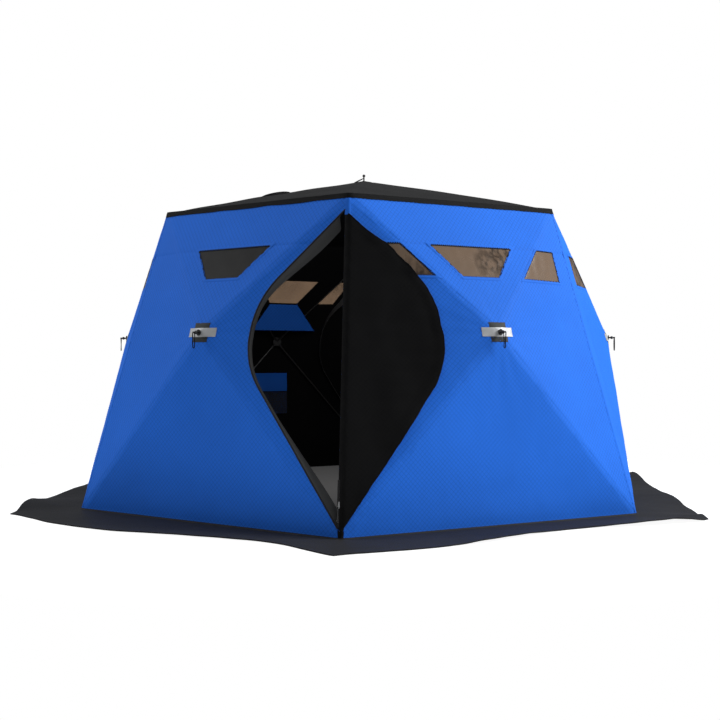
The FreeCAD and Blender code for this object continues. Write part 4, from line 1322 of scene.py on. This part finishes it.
def make_skirt():
    """The ground flap all round: sewn up the foot of the walls, then lying out to a point at each corner,
    where it lies flatter, pegged or weighed down with snow."""

    def rows(wall, t):
        along, outward = wall_axes(wall)
        foot = t * float(half_width(0.004))
        points = [on_wall(wall, foot, np.full_like(t, z), lift)
                  for z, lift in ((0.013, 0.0012), (0.006, 0.0024))]
        edge_out = SKIRT_MIDDLE + (SKIRT_TIP * math.cos(HALF_TURN) - SKIRT_MIDDLE) * np.abs(t) ** 1.15
        edge_along = t * SKIRT_TIP * math.sin(HALF_TURN)
        swell = skirt_swell(wall, t)
        inner_out, inner_along = REACH + 0.006, t * (REACH + 0.006) * math.tan(HALF_TURN)
        calm = 1 - 0.75 * smooth(np.abs(t), 0.8, 1)
        for share in np.linspace(0, 1, 26):
            flat_along = inner_along + (edge_along - inner_along) * share
            flat_out = inner_out + (edge_out - inner_out) * share
            flat = flat_along[:, None] * along + flat_out[:, None] * outward
            place = flat[:, :2]
            wave = np.clip(0.35 + 0.8 * ripple(place, 0.8, 21), 0, 1.3)
            fine = 0.5 + 0.5 * ripple(place, 0.2, 22)
            rise = SKIRT_RISE.get(wall, SKIRT_USUAL_RISE) * wave * share**2 + 0.003 * fine * share
            flat[:, 2] = 0.0034 + rise * calm
            flat[:, :2] *= (1 + (swell - 0.010) * share**2 / np.linalg.norm(place, axis=1))[:, None]
            points.append(flat)
        return np.array(points)

    grid = ring_rows(rows, 91)
    thing = Shape().grid(grid, closed=True).build("skirt_sheet", [SKIRT], "skirt_fabric", FABRIC)
    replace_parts(thing, "snow_skirt")
    hem = cord("skirt_hem", grid[-1] + [0, 0, -0.0008], 0.0030, "skirt_fabric", closed=True, squash=0.7)
    cloth(thing, (SKIRT_TIP * math.cos(HALF_TURN) - REACH + 0.025, SIDES * SKIRT_TIP), "ground",
          Shape().grid(grid).area())


# ---- light, floor and camera


def make_stage():
    """A pale floor that glows softly round the shelter, and is plain under it."""
    bpy.ops.mesh.primitive_circle_add(vertices=96, radius=3.4, fill_type="NGON", location=(0, 0, -0.0005))
    floor = bpy.context.object
    floor.name = "studio_floor"
    n = Nodes("studio_white")
    place = n.node("TexCoord").outputs["Object"]
    reach = None
    for wall in range(3):
        along = n.node("VectorMath", operation="DOT_PRODUCT")
        n.join(place, along.inputs[0])
        along.inputs[1].default_value = wall_axes(wall)[1]
        span = n.calc("ABSOLUTE", along.outputs["Value"])
        reach = span if reach is None else n.calc("MAXIMUM", reach, span)
    tone = n.blend(n.noise(0.5), (0.29, 0.29, 0.29), (0.31, 0.31, 0.31))
    glow = n.range(reach, REACH + 0.03, REACH + 0.18, 0.03, 0.94)
    floor.data.materials.append(n.done(Base_Color=tone, Roughness=0.9, Emission_Color=(1, 1, 1, 1),
                                       Emission_Strength=glow))


# Each light's place, aim, width and watts.
LIGHTS = {"key": ((7.0, -1.5, 5.0), (0, 0, 1), 3.5, 760),
          "fill": ((-7.0, -1.0, 5.0), (0, 0, 1), 4.0, 230),
          "top": ((0, 0, 7.5), (0, 0, 1), 5.0, 190),
          "inside": ((0.2, -0.3, 1.72), (-0.6, 1.2, 0.9), 0.8, 6)}


def put_in_scene(name, data, place, heading):
    thing = bpy.data.objects.new(name, data)
    thing.location = place
    thing.rotation_euler = heading.to_track_quat("-Z", "Y").to_euler()
    bpy.context.scene.collection.objects.link(thing)
    return thing


def make_light():
    for name, (place, aim, size, watts) in LIGHTS.items():
        light = bpy.data.lights.new(name, "AREA")
        light.shape = "DISK"
        light.size = size
        light.energy = watts
        put_in_scene(name, light, place, Vector(aim) - Vector(place)).visible_camera = False
    world = bpy.data.worlds.new("studio")
    bpy.context.scene.world = world
    world.use_nodes = True
    tree = world.node_tree
    tree.nodes.clear()
    seen, lit, path, mix, output = (tree.nodes.new("ShaderNode" + kind) for kind in (
        "Background", "Background", "LightPath", "MixShader", "OutputWorld"))
    seen.inputs[0].default_value = (1, 1, 1, 1)
    lit.inputs[0].default_value = (0.96, 0.98, 1.0, 1)
    lit.inputs[1].default_value = 0.25
    for source, target in ((path.outputs["Is Camera Ray"], mix.inputs[0]), (lit.outputs[0], mix.inputs[1]),
                           (seen.outputs[0], mix.inputs[2]), (mix.outputs[0], output.inputs[0])):
        tree.links.new(source, target)
    bpy.context.scene.view_settings.view_transform = "Standard"


def make_camera():
    camera = bpy.data.cameras.new("camera")
    camera.lens = 51.1
    camera.sensor_width = 36
    heading = Vector((-0.0636, 0.998, 0))
    bpy.context.scene.camera = put_in_scene("camera", camera, (0.424, -7.078, 0.915), heading)


def finish_cad_nodes():
    """Materials for the frame's own hard pieces."""
    looks = dict.fromkeys(("hub_posts", "upper_sockets", "lower_sockets", "hub_roof"), NYLON)
    looks.update({"rods_roof": FIBRE, "front_zip_slider": ZIP_METAL, "rear_zip_slider": ZIP_METAL})
    for name in WALLS.values():
        looks.update({f"hub_{name}": NYLON, f"rods_{name}": FIBRE})
    for node, material in looks.items():
        mesh = frame["nodes"][node].data
        mesh.materials.clear()
        mesh.materials.append(material)


for make in (make_walls, make_corner_tapes, make_roof, make_vent, make_windows, make_covers, make_doors,
             make_hub_dressings, make_loops, make_pocket, make_skirt, make_stage, make_light, make_camera,
             finish_cad_nodes):
    make()
